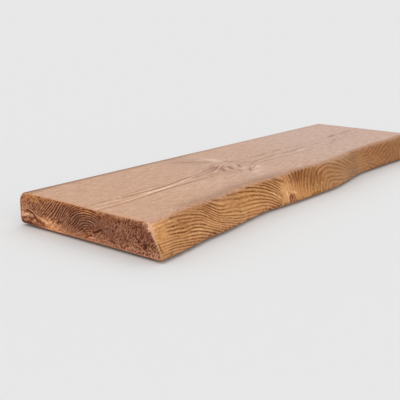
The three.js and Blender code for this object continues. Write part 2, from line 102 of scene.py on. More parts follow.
# Marks in the wood, read off the photograph.
# Lines of the natural edge: ring number, strength, half width, then points as
# (from the left end, above the foot).
EDGE_LINES = [
    (10, 0.75, 1.1, [(40, 41), (53, 40.6), (84, 36.3), (100, 32.9), (104, 31.2)]),
    (10, 1, 1.3, [(104, 31.2), (114, 26.7), (126, 19.8)]),
    (10, 0.7, 1.1, [(126, 19.8), (133, 16.6), (141, 13.9), (166, 8.4), (178, 7)]),
    (11, 0.45, 1, [(26, 36.8), (50, 34.3)]),
    (11, 0.5, 1, [(53, 35.5), (65, 34.8), (69, 33.5), (84, 30.7), (97, 29.8)]),
    (12, 0.9, 1.1, [(27, 34), (35, 32.4), (52, 30.4)]), (12, 0.7, 1.1, [(54, 33.6), (83, 28.3)]),
    (12, 0.7, 1.1, [(87, 29.1), (97, 27.3), (104, 25.2)]),
    (13, 0.6, 1.2, [(25, 28.8), (30, 28.9), (38, 27.7), (44, 28), (52, 26), (60, 25), (70, 22.9)]),
    (13, 0.9, 1, [(53, 29.6), (70, 26.9)]),
    (13, 0.65, 1, [(78, 25), (94, 22), (106, 18.3), (110, 16.3), (130, 10.5)]),
    (14, 1, 1.2, [(30, 25), (40, 23.2), (45, 23), (56, 20.7), (60, 20.9), (69, 19.8)]),
    (14, 0.8, 1.1, [(71, 22.2), (80, 21.7), (92, 19.2), (101, 15.5), (113, 12), (126, 7), (133, 3.6)]),
    (15, 0.9, 1.3, [(70, 19), (85, 15.9), (104, 10.4), (112, 7.7), (124, 2.5)]),
    (16, 0.5, 0.9, [(9, 19.6), (35, 19), (64, 15.1)]), (16.5, 0.4, 0.8, [(22, 17.6), (37, 16.3)]),
    (16, 0.7, 1, [(66, 14.6), (83, 12.2), (103, 7.2), (112, 3.5)]),
    (17, 0.6, 0.9, [(10, 14.8), (20, 15), (36, 13.9), (50, 12.5), (64, 10.2)]),
    (17, 0.65, 1, [(66, 10), (75, 8.3), (88, 6.8), (103, 2.2)]),
    (18, 0.55, 0.9, [(17, 12.3), (33, 11.9), (71, 7.3), (86, 3.6)]),
    (19, 0.85, 1, [(17, 10), (31, 9.5), (55, 6), (70, 3)]), (20, 0.5, 1, [(10, 6.4), (28, 6.8)]),
    (11, 0.6, 1, [(6, 35.8), (10, 35.7)]), (11, 0.5, 0.9, [(13, 35.6), (16, 35.5)]),
    (12.5, 0.6, 0.9, [(7, 30), (11, 30.2)]), (13, 0.6, 1.1, [(11, 29), (14, 28.6)]),
    (13.4, 0.6, 0.9, [(7, 28), (10, 27.5)]), (14.4, 0.6, 0.9, [(7, 24.8), (11, 24.3)]),
    (14.4, 0.35, 1.1, [(12, 24.5), (15, 24)]),
    (8, 0.5, 1, [(99, 39.2), (105, 39.3), (110, 38.5), (113, 37.4)]),
    (9, 0.7, 1, [(103, 34.8), (107, 34.2), (115, 30), (121, 26), (137, 18)]),
    (8, 0.8, 1, [(112, 34), (118, 31.8), (122.5, 28.5), (126, 27.2), (137, 21.4), (149, 18)]),
    (7, 0.7, 1, [(117, 35.5), (121, 32.8), (124, 31.8), (134, 26), (146, 21.2), (150, 20), (170, 17),
     (178, 16.8)]),
    (6, 0.75, 1.1, [(115, 38), (118.5, 38), (130, 31), (142, 25.8), (155, 25.2), (175, 22.3),
     (182, 22.5), (192, 21.7)]),
    (5, 1, 1.2, [(113, 41.2), (123, 39.7), (137, 31.6), (141, 30.5)]),
    (5, 0.4, 1.1, [(144, 29.5), (150, 29), (155, 29.7)]),
    (5, 0.3, 1.8, [(160, 28), (178, 27.5), (183, 26.2)]), (4, 1, 1.3, [(125, 41.4), (132, 40.2)]),
    (4, 0.5, 1.2, [(132, 40.2), (138, 36.6), (142, 35.2), (147, 34.6), (152, 33.2)]),
    (3, 0.8, 1.2, [(134, 43.8), (146, 43), (162, 40.4), (180, 35.7), (191, 34.8)]),
    (3, 0.7, 1.8, [(194.5, 34), (197, 33)]), (3, 0.5, 1.6, [(200, 33.6), (206, 33.4)]),
    (9, 0.5, 0.9, [(143, 17.4), (150, 15), (170, 11.5)]),
    (8, 0.5, 0.9, [(150, 17.6), (162, 15.2), (167, 14.8)]),
    (2, 0.85, 1.2, [(168, 43.4), (181, 42), (185, 42.4), (219, 39.6), (235, 36.3)]),
    (2, 0.6, 1.2, [(235, 36.3), (245, 33.7)]),
    (2, 0.8, 1.3, [(245, 33.7), (262, 29.8), (282, 22.2), (300, 11.4)]),
    (2, 0.7, 1.6, [(203.5, 40.8), (205, 40)]), (2, 0.7, 1.5, [(238.5, 35.2), (240.5, 35.2)]),
    (1, 1, 1.2, [(222, 42.2), (230, 41.9), (242, 40.3), (255, 37.4), (266, 33.9), (280, 28.2),
     (284, 27.2), (294, 21.2), (303, 14)]),
    (3, 0.85, 1.3, [(226, 31.9), (246, 28.4), (268, 21.8), (274, 20.9), (290, 12.3), (302, 7.4)]),
    (3.3, 0.5, 1.2, [(226, 28.9), (240, 28.9)]),
    (4, 0.85, 1.3, [(228, 24.7), (256, 20.6), (274, 15.6), (285, 10.7), (289, 9.8), (297, 6.8)]),
    (4, 0.55, 1.4, [(187, 27.2), (193, 26.8), (197, 27.2), (202, 26.3), (221, 26.2)]),
    (5, 0.65, 1.1, [(198, 22), (210, 22), (230, 19.7), (268, 14.3), (274, 12.6), (279, 10.3),
     (291, 6.3)]),
    (6, 0.4, 0.9, [(170, 17), (185, 16.9), (192, 15.9), (205, 15.6), (234, 12.6)]),
    (6, 0.6, 1.2, [(240, 15), (243, 14.6)]), (6, 0.5, 1.2, [(240, 12), (244, 11.6)]),
    (6, 0.5, 1, [(247, 13.6), (253, 13)]), (7, 0.4, 0.9, [(180, 14), (229, 10.3)]),
    (7.6, 0.8, 1.1, [(172, 11.6), (206, 8.9), (214, 8.9), (226, 7), (232, 6.9), (246, 3.6)]),
    (8.5, 0.5, 1, [(173, 8), (182, 6.9), (189, 7)]),
    (0, 1, 1.2, [(256, 40.3), (264, 39.2), (268, 37.9), (273, 36), (285, 30), (299.5, 20.9), (304, 16)]),
    (-1, 1, 1.1, [(265, 41.8), (274, 40), (281, 36.7), (292.5, 30), (304, 21)]),
    (-2, 0.9, 1, [(279, 42.2), (285, 40.2), (303, 28)]), (-3, 0.7, 0.9, [(286, 42.4), (303, 32)]),
    (-4, 1.3, 1.5, [(291, 43.6), (299, 40.6), (303, 39.5), (308, 37), (313, 36.6), (316.5, 37.3)]),
    (-4, 0.9, 1.2, [(316.5, 37.3), (318.5, 34.5), (320.5, 32.5)]),
    (-4.6, 0.4, 1.2, [(318, 26.5), (320, 25)]), (-4.5, 0.3, 1.2, [(309, 19.5), (311, 18.5)]),
    (-4.8, 0.3, 1.2, [(320, 19.6), (321.5, 18.6)]), (-7, 1, 2, [(337, 41), (340, 36), (343, 32.6)]),
    (-7, 0.6, 1.5, [(329, 35.4), (332, 31.5), (335, 31.6), (338, 32.6)]),
    (-8, 0.9, 1.7, [(347.5, 41.5), (348.6, 39.3), (349, 35.8), (351, 31.6)]),
    (-9, 0.95, 1.6, [(362, 41.8), (359, 40.2), (355, 36.3), (354, 34.6)]),
    (-9, 0.8, 2, [(356.5, 31), (361, 31.2)]), (-9, 0.5, 2.2, [(354, 28.5), (356, 26.5)]),
    (-10, 0.95, 1.6, [(370, 42.4), (367.3, 40.3), (361.5, 33.5)]),
    (-11, 1, 1.6, [(380, 42.4), (374.3, 39.3), (371.7, 36.3), (369, 31.4), (367.7, 30.4)]),
    (-12, 0.8, 1.6, [(389, 42.3), (385.6, 40.8), (380.3, 36.6), (377.3, 33.8), (376.2, 30.6)]),
    (-12, 0.7, 1.5, [(374.6, 28.5), (369.4, 21.4)]),
    (-12, 0.4, 1.8, [(364, 22.5), (363.6, 20.6), (366, 18), (368, 17.2)]),
    (-12, 0.45, 1.6, [(366, 12.3), (368, 10.2)]),
    (-13, 0.8, 1.6, [(397.5, 41.5), (391.2, 37.8), (388.4, 35.3), (385.4, 31.5)]),
    (-13, 0.85, 1.6, [(381, 26), (379.6, 24.6), (376.4, 18.6), (376.6, 14.6)]),
    (-14, 0.7, 1.7, [(408, 41.5), (400.3, 36.2), (397, 30.4), (394.5, 27.6)]),
    (-14, 0.6, 1.6, [(392.5, 26.5), (388, 20.4), (383.6, 16), (383.4, 14.6)]),
    (-15, 0.6, 1.6, [(398.6, 25.4), (394.2, 19.2), (391, 17.2), (389.2, 15), (388.4, 12.8)]),
    (-15, 0.5, 1.6, [(410, 40.4), (408, 38.6)]), (-15, 0.55, 1.8, [(406.5, 28.4), (401, 25.6)]),
    (-16, 1.5, 1.9, [(413, 34.6), (411.2, 33.4), (409.2, 30)]),
    (-16, 0.7, 1.8, [(433.4, 41), (426.4, 39), (420.3, 38), (413, 34.6)]),
    (-16, 0.75, 1.6, [(409, 24.6), (411.5, 24.2)]), (-16, 0.6, 1.6, [(409, 19), (407, 11.5)]),
    (-17, 0.7, 1.7, [(433, 34.8), (429, 34), (417.7, 28.4), (413.5, 27)]),
    (-17, 0.8, 1.6, [(423.5, 24.4), (415.2, 20.8), (413, 19), (412, 17.4), (412.4, 15.4), (413.4, 14)]),
    (-18, 0.6, 1.4, [(423, 20.4), (421.2, 19.2)]), (-18, 0.65, 1.6, [(420.5, 12.6), (417.4, 9)]),
    (-19, 0.7, 1.8, [(433, 12.4), (429, 8.6)]), (-16, 0.5, 1.7, [(440, 41), (460, 40.5), (466, 38.6)]),
    (-16, 0.8, 1.7, [(466, 38.6), (494, 30.5)]), (-16, 0.45, 1.6, [(500, 28), (511, 25), (534, 16.4)]),
    (-15, 0.9, 1.8, [(481, 41.8), (485, 41.2), (500, 35.6)]),
    (-15, 0.7, 1.6, [(500, 35.6), (512, 30.6), (533, 20.5)]), (-14, 0.75, 1.6, [(508, 39), (530, 27.4)]),
    (-14, 0.5, 1.6, [(538, 23.6), (547, 20.6)]), (-13, 0.8, 1.9, [(531, 37), (535, 35.8)]),
    (-13, 0.6, 1.7, [(540, 33), (546, 32), (558, 27.6), (562, 25.4)]),
    (-12, 0.8, 1.8, [(548, 36.2), (567, 31.3)]), (-11, 0.45, 1.7, [(550, 39), (574, 34.5)]),
    (-10, 0.6, 1.6, [(549, 43.2), (569, 41.8), (580, 43.2)]),
    (-17, 0.7, 1.7, [(440, 36.6), (447, 36.3), (465, 33), (470, 30.6), (484, 28.3)]),
    (-17, 0.4, 1.6, [(488, 27.4), (515, 18)]), (-17.5, 0.5, 1.6, [(446, 33), (448, 32.4)]),
    (-18, 0.6, 1.7, [(442, 28.2), (448, 27.6), (456, 28), (460, 26.8)]),
    (-18, 0.5, 1.5, [(470, 24), (490, 20)]),
    (-19, 0.7, 1.6, [(438, 21.2), (452, 20.7), (458, 20), (464, 18.5)]),
    (-19, 0.5, 1.5, [(464, 18.5), (487, 16.2)]), (-20, 0.6, 1.7, [(440, 13.8), (447, 15), (463, 13.8)]),
    (-20, 0.75, 1.5, [(463, 13.8), (477, 11), (493, 8.7), (500, 7)]),
    (-21, 0.5, 1.7, [(450, 9.8), (456, 8.8), (460, 7), (466, 5.6)]),
    (-19.5, 0.55, 1.5, [(518, 11.5), (538, 8.2)]),
    (-18.5, 0.75, 1.6, [(540, 11.6), (549, 8.4), (555, 7)]),
    (-17, 0.55, 1.6, [(538, 18.4), (554, 15.7), (561, 15.5)]),
    (-17, 0.8, 2, [(565.5, 18.8), (566.5, 17.2)]), (-18, 0.5, 1.8, [(562, 8), (566, 7.4)]),
    (-17.5, 0.5, 1.8, [(563, 12.6), (567, 11.8)]), (-13, 0.6, 2.2, [(586, 39.4), (590, 38.6)]),
    (-13.5, 0.6, 2.4, [(592, 35.8), (596, 34.8)]), (-14, 0.8, 2.4, [(602, 31), (608, 30)]),
    (-14.4, 0.6, 2.4, [(596, 27.8), (600, 27)]), (-13, 0.8, 2.2, [(610, 34.4), (620, 37)]),
    (-12, 0.5, 2.2, [(596, 41), (607, 43.2)]), (-14, 0.5, 2.4, [(617, 28.6), (621, 31)]),
    (-14, 0.6, 2.2, [(625, 34), (630, 34.8), (636, 37.4), (640, 40)]),
    (-13, 0.6, 2, [(625, 41), (638, 44)]), (-15, 0.7, 2.2, [(633, 28), (643, 31.4)]),
    (-15, 0.8, 2.2, [(648, 35.6), (654, 37)]), (-16, 0.9, 2.2, [(648, 26.8), (668, 37), (672, 40)]),
    (-17, 0.6, 2.2, [(666, 28), (671, 28.4), (677, 31), (681, 33.8), (686, 36), (699, 40)]),
    (-18, 0.7, 2.2, [(679, 24.4), (692, 29.2)]), (-18, 0.7, 2.4, [(698, 32), (702, 33), (707, 36.4)]),
    (-17, 0.9, 2.2, [(658, 22.4), (662, 24)]), (-18, 0.8, 2, [(664, 19.6), (667, 18.4)]),
    (-18, 0.6, 2, [(671, 21.2), (675, 20.4)]), (-18.5, 0.7, 2, [(678, 18), (684, 16)]),
    (-19, 0.6, 2, [(688, 19.2), (691, 18)]), (-19.5, 0.6, 2.2, [(670, 14), (673, 12.6)]),
    (-20, 0.7, 2, [(689, 13.6), (697, 11.2)]), (-20, 0.6, 2.2, [(703, 16.6), (708, 15.6)]),
    (-19, 0.6, 2.6, [(695, 23), (699, 22.4)]), (-20, 0.5, 2.6, [(705, 28), (708, 26)]),
    (-21, 0.6, 3, [(718, 20), (724, 21.5)]), (-21, 0.5, 2.8, [(714, 27), (718, 28.4)]),
    (-21, 0.7, 2.6, [(729, 32.6), (736, 31.6)]), (-15.5, 0.6, 2.2, [(609, 20.8), (615, 19)]),
    (-15.5, 0.4, 2.2, [(618, 21.4), (636, 18.8)]),
    (-17, 0.6, 2, [(616, 13.6), (620, 13.4), (627, 12), (631, 10.2)]),
    (-17, 0.9, 1.8, [(631, 10.2), (634, 9.2)]), (-17, 0.6, 1.8, [(634, 9.2), (640, 7.4), (645, 5)]),
    (-18, 0.6, 2.2, [(620, 9), (626, 7.6)]), (-22, 0.5, 2.4, [(744, 36), (758, 41)]),
    (-23, 0.5, 2.4, [(742, 24), (758, 32), (766, 37)]),
    (-24, 0.5, 2.4, [(756, 20), (772, 30), (780, 37)]),
    (-25, 0.5, 2.4, [(768, 15), (776, 20), (784, 26), (792, 34)]),
    (-23.5, 0.4, 2.2, [(740, 12), (750, 9), (760, 7)]),
]
# Single dark marks of the edge, with the small knot at its foot, and the pale
# lines beside the dark ones: strength, half width, points
EDGE_MARKS = [
    (1.9, 1.2, [(3.6, 20), (4.4, 15), (5, 11)]), (0.8, 1, [(6, 34), (12, 37)]),
    (0.8, 1, [(7, 29), (13, 33)]),
    (1.8, 1.8, [(323, 4), (322.8, 8), (323.2, 11), (325, 13.4), (328, 13.6), (329.4, 12), (329.6, 8.6)]),
    (1.7, 1.7, [(334, 14), (335.2, 11)]), (1.2, 1.6, [(335.2, 11), (337, 6.4), (338.6, 3.4)]),
    (0.9, 2.2, [(260, 9.2), (262, 8.6)]),
]
EDGE_PALE = [
    (0.8, 2, [(316.5, 20), (318.6, 13), (319.4, 6)]), (0.9, 2, [(331, 17), (342, 15)]),
    (0.7, 1.5, [(384, 42), (381.5, 41), (378, 38.6), (375.8, 36.6), (374, 34.6), (372.2, 31)]),
    (0.7, 1.5, [(380, 29), (378, 27.6), (374.4, 23.8)]),
    (0.6, 1.4, [(392.5, 41), (389.5, 39.2), (386.4, 35.6)]),
    (0.7, 1.4, [(383.5, 25), (381, 19.6), (380.4, 13.4)]), (0.8, 1.6, [(387, 15.4), (387.4, 14.2)]),
    (0.6, 1.5, [(402, 41), (399.4, 39.2), (397.5, 37.2)]), (0.8, 1.8, [(402.6, 17), (403.8, 14.6)]),
    (0.8, 1.8, [(420.6, 16.6), (419.2, 14.8)]), (0.5, 1.8, [(414, 32.6), (418, 35), (431, 38)]),
    (0.6, 1.2, [(34, 39), (44, 37.4), (50, 36)]), (0.5, 1, [(43, 25.6), (57, 23.4), (64, 21.8)]),
    (0.5, 1, [(47, 20.4), (54, 18.4), (70, 16), (84, 13.4)]),
    (0.5, 1, [(78, 19.4), (86, 18.2), (105, 13.6), (118, 8)]),
    (0.5, 1, [(86, 12.6), (102, 9), (108, 6.8), (114, 4)]),
    (0.7, 1.1, [(100, 35), (105, 33.4), (115, 28.6)]), (0.6, 1.1, [(143, 39.4), (152, 35.8)]),
    (0.7, 1.4, [(265, 36.4), (269, 35.2)]), (0.7, 1.2, [(284, 24.4), (289, 20.2)]),
    (0.8, 1.2, [(294, 17.8), (297, 15.8), (300, 13.2)]),
    (0.6, 1.1, [(285.5, 38), (288, 35.6), (294, 31)]),
]
# Streaks and the knot figure of the top: strength, half width, then points as
# (from the left end, from the wall)
TOP_DARK = [
    (0.5, 1.5, [(2, 133), (14, 133.5), (30, 132.5), (48, 133)]), (0.8, 1.5, [(58, 137.5), (61, 134)]),
    (1, 1.6, [(68, 137), (80, 138.5), (100, 138), (125, 139), (165, 135.5), (215, 127.5)]),
    (0.7, 1.4, [(215, 127.5), (246, 123)]),
    (0.5, 1.4, [(246, 123), (262, 119.5), (280, 115), (292, 110)]),
    (0.7, 1.5, [(0, 158), (12, 159.5), (30, 160), (80, 157.5), (96, 156)]),
    (0.95, 1.6, [(96, 156), (112, 153.5), (155, 149.5), (175, 151), (196, 150)]),
    (0.6, 1.6, [(196, 150), (220, 150), (245, 151.5)]),
    (0.3, 1.6, [(10, 146), (35, 146.5), (48, 148), (70, 147)]),
    (0.4, 1.6, [(75, 127), (100, 128.5), (150, 126)]), (0.45, 1.5, [(215, 136), (252, 133), (264, 128)]),
    (0.6, 1.4, [(246, 143), (258, 142.5), (264, 143.5)]),
    (0.4, 1.4, [(262, 128), (276, 126), (284, 123)]), (0.6, 1.3, [(294, 106), (303, 103), (312, 98)]),
    (0.6, 1.4, [(279, 120), (288, 116)]), (0.9, 1.5, [(288, 116), (296, 112), (304, 108)]),
    (0.6, 1.6, [(270, 128), (280, 126)]), (0.9, 1.6, [(282, 125), (290, 121), (300, 116), (308, 112.5)]),
    (0.8, 1.4, [(290, 131), (300, 124.5), (308, 120), (316, 116)]),
    (0.7, 2.6, [(298, 130), (291.5, 134), (286, 142)]), (0.85, 2.6, [(315, 129), (310, 135), (306, 142)]),
    (0.7, 2, [(338, 131), (333, 135), (326, 139.5)]), (0.5, 2, [(318, 146), (331, 143)]),
    (0.65, 1.2, [(330, 160), (340, 153), (348, 149), (358, 145)]),
    (0.7, 1.2, [(334, 163), (341, 159.5), (352, 155)]), (0.75, 2.4, [(325, 164), (320, 167), (314, 171)]),
    (0.5, 2.2, [(338, 168), (331, 172)]), (0.4, 2, [(310, 153), (298, 166)]),
    (0.4, 3, [(312, 84), (325, 79)]), (0.5, 5, [(345, 101), (350, 107), (352, 112)]),
    (0.35, 4, [(352, 122), (362, 130), (368, 136)]),
    (0.45, 5, [(288, 46), (300, 56), (312, 68), (324, 80)]),
    (0.5, 2.2, [(363, 142), (372, 137.5), (385, 134), (412, 135.5), (440, 131)]),
    (0.35, 3, [(410, 112), (425, 113.5), (442, 113)]), (0.3, 2.6, [(396, 147), (412, 146.5), (452, 149)]),
    (0.4, 3.4, [(462, 112), (492, 110)]), (0.5, 3, [(470, 133), (500, 135), (516, 132), (530, 131)]),
    (0.4, 2.4, [(532, 118), (545, 115)]), (0.4, 2.2, [(584, 132), (592, 128)]),
    (0.55, 2.6, [(636, 138), (644, 135), (652, 131)]), (0.35, 3, [(600, 151), (618, 146), (630, 141)]),
    (0.6, 4.4, [(662, 114), (674, 111), (690, 108)]), (0.4, 4, [(700, 113), (725, 111), (762, 105)]),
    (0.22, 2, [(440, 131), (470, 133), (530, 131), (590, 129), (640, 137), (700, 129), (798, 124)]),
    (0.2, 2, [(356, 151), (420, 147), (500, 153), (570, 150), (640, 143), (720, 146), (798, 143)]),
    (0.2, 2.4, [(352, 112), (410, 112), (492, 110), (570, 114), (660, 114), (700, 110), (798, 106)]),
    (0.35, 3, [(716, 131), (728, 129)]), (0.3, 3.4, [(560, 170), (572, 168)]),
]
TOP_PALE = [
    (0.5, 1.4, [(10, 139.5), (55, 141.5)]), (0.6, 1.8, [(100, 143), (115, 144.5), (135, 145)]),
    (1.1, 2.3, [(106, 146.5), (120, 146), (140, 145.5), (160, 144)]),
    (0.8, 1.8, [(160, 144), (176, 141), (203, 133)]), (0.5, 1.4, [(50, 154), (92, 151.5), (108, 149)]),
    (0.5, 1.8, [(2, 152), (20, 153.5)]), (0.4, 1.6, [(203, 133), (230, 129)]),
    (0.6, 1.8, [(268, 137), (276, 132)]), (0.8, 2, [(268, 137), (276, 133), (281, 130.5)]),
    (0.7, 1.2, [(298, 110.5), (314, 105)]), (0.4, 1.4, [(212, 123), (230, 120.5), (262, 116)]),
    (0.4, 1.6, [(92, 133), (135, 133)]), (0.8, 1.4, [(302, 119.5), (318, 113)]),
    (0.5, 4, [(322, 118), (332, 124)]), (0.6, 2.4, [(298, 141), (303, 131)]),
    (0.7, 3, [(316, 150), (322, 138), (328, 131)]), (0.5, 4, [(330, 146), (322, 156)]),
    (0.6, 1.2, [(334, 158), (342, 154.5), (352, 150.5)]),
    (0.6, 1.4, [(336, 165), (346, 161), (356, 156)]),
    (0.5, 4, [(352, 160), (336, 170), (322, 178), (310, 183)]), (0.4, 6, [(338, 66), (342, 84)]),
    (0.3, 4, [(498, 100), (502, 108), (494, 118)]), (0.3, 3.5, [(405, 140), (425, 141), (445, 140)]),
    (0.3, 4, [(490, 143), (525, 140)]),
]
# Cracks, pores and saw marks of the left end: strength, half width, then points
# as (from the wall, above the foot). The first CRACKS of the dark ones are cut
# into the wood.
CRACKS = 4
END_DARK = [
    (1.2, 1, [(149.4, 14.3), (152, 14.7), (156, 16.6), (160, 18), (162, 19.4), (165, 20.4)]),
    (0.8, 0.8, [(131.6, 0), (134, 3.2), (137, 6), (141, 8.5), (146, 9.6)]),
    (1.4, 1, [(17, 22), (28, 18.6), (31, 16.8), (37, 10.8), (38.6, 8.4)]),
    (0.6, 0.9, [(9, 18.8), (14, 18.6), (18, 19), (21, 18.4)]),
    (0.5, 1.4, [(5, 9), (9, 9.8), (22, 11.4), (29, 10.6)]),
    (1, 1.5, [(6, 4.4), (11, 2.4), (16, 2.6), (20, 4), (22, 4.2)]), (0.8, 1.3, [(22, 3), (33, 2.8)]),
    (0.6, 1.2, [(33, 12.6), (27, 10.6)]), (0.6, 1.6, [(52, 6), (51, 3.6), (49, 1.6)]),
    (0.6, 1.4, [(41, 9.4), (46, 8.6), (49, 7.4)]), (0.8, 2.4, [(240, 16), (241, 14), (239, 12.4)]),
    (0.7, 1.2, [(181, 9.6), (185, 8.6), (189, 8.2)]), (0.7, 0.6, [(54, 20.8), (57, 22.8)]),
    (0.8, 0.8, [(68, 27.6), (70, 28.4)]), (0.8, 0.7, [(69.4, 30.4), (72.6, 31)]),
    (0.7, 0.6, [(29, 29.6), (32, 32), (34.4, 34.6)]), (0.6, 0.6, [(19, 34.4), (22.4, 37.4)]),
    (0.6, 0.6, [(20, 29.6), (26, 34.6)]), (0.7, 1, [(45, 39.6), (48, 38.4)]),
    (0.8, 1, [(50.6, 35.8), (52, 36.8)]), (0.8, 0.9, [(159.6, 37.8), (163, 36.4)]),
    (0.8, 0.9, [(212.6, 27), (213.6, 28.6)]), (0.8, 0.8, [(214, 20.8), (214.6, 22)]),
    (0.8, 0.8, [(219, 32.6), (220.6, 33.8)]), (0.7, 0.8, [(219, 23), (220.6, 24)]),
    (0.8, 0.8, [(208, 42), (208, 36.6)]), (0.6, 0.8, [(196, 38.6), (196.2, 37)]),
    (0.8, 1, [(204.8, 6.6), (206, 5.2), (205, 3)]), (0.7, 0.9, [(194.6, 4.6), (195, 3)]),
    (0.7, 0.9, [(201, 5), (202, 4.8)]), (0.7, 0.9, [(185, 22.6), (185.6, 22.8)]),
    (0.8, 0.9, [(160, 38.6), (163.4, 36.4)]), (0.6, 0.8, [(142, 22.2), (146, 18.4)]),
    (0.6, 0.8, [(241, 30), (243, 33)]), (0.7, 0.9, [(226.6, 10), (228, 10.6)]),
    (0.7, 0.9, [(242, 8.4), (243.6, 8.8)]),
]
END_PALE = [
    (1.2, 1, [(14, 23.6), (23, 22.4), (28, 21), (32, 19.2), (34.6, 17.2), (38, 16), (50, 13.2),
     (60, 9.8)]),
    (0.8, 1.3, [(6, 12), (11, 13.4), (16, 15.6), (20, 16.4)]), (0.7, 1.2, [(26, 15.4), (29.6, 16)]),
    (0.8, 1.6, [(32, 8), (33.6, 9.6)]), (0.7, 1, [(136, 2), (143, 6), (150, 7.6)]),
    (0.8, 0.7, [(108, 23), (111.4, 25.7), (114, 28.8), (117, 31.7), (120, 34.2), (125, 35.2),
     (131, 36.8), (143, 37.8)]),
    (0.7, 0.7, [(134, 27.2), (143, 28.3), (149, 27.2), (154.4, 23.4)]),
    (0.7, 0.7, [(155.6, 43.6), (159, 41), (162.4, 38.8)]),
    (0.6, 0.7, [(128, 37.6), (136, 40.4), (148, 40)]), (0.5, 0.9, [(56, 24), (59.6, 27), (63, 30.6)]),
    (0.6, 0.9, [(32, 30), (34.6, 32)]), (0.6, 0.8, [(36, 37.6), (39, 35)]),
    (0.5, 0.8, [(66, 20), (73.6, 27)]), (0.7, 0.9, [(66, 12.2), (69, 14)]),
    (0.6, 0.8, [(104, 35), (107, 37.6)]), (0.5, 0.8, [(75.6, 20), (78, 21.6)]),
]
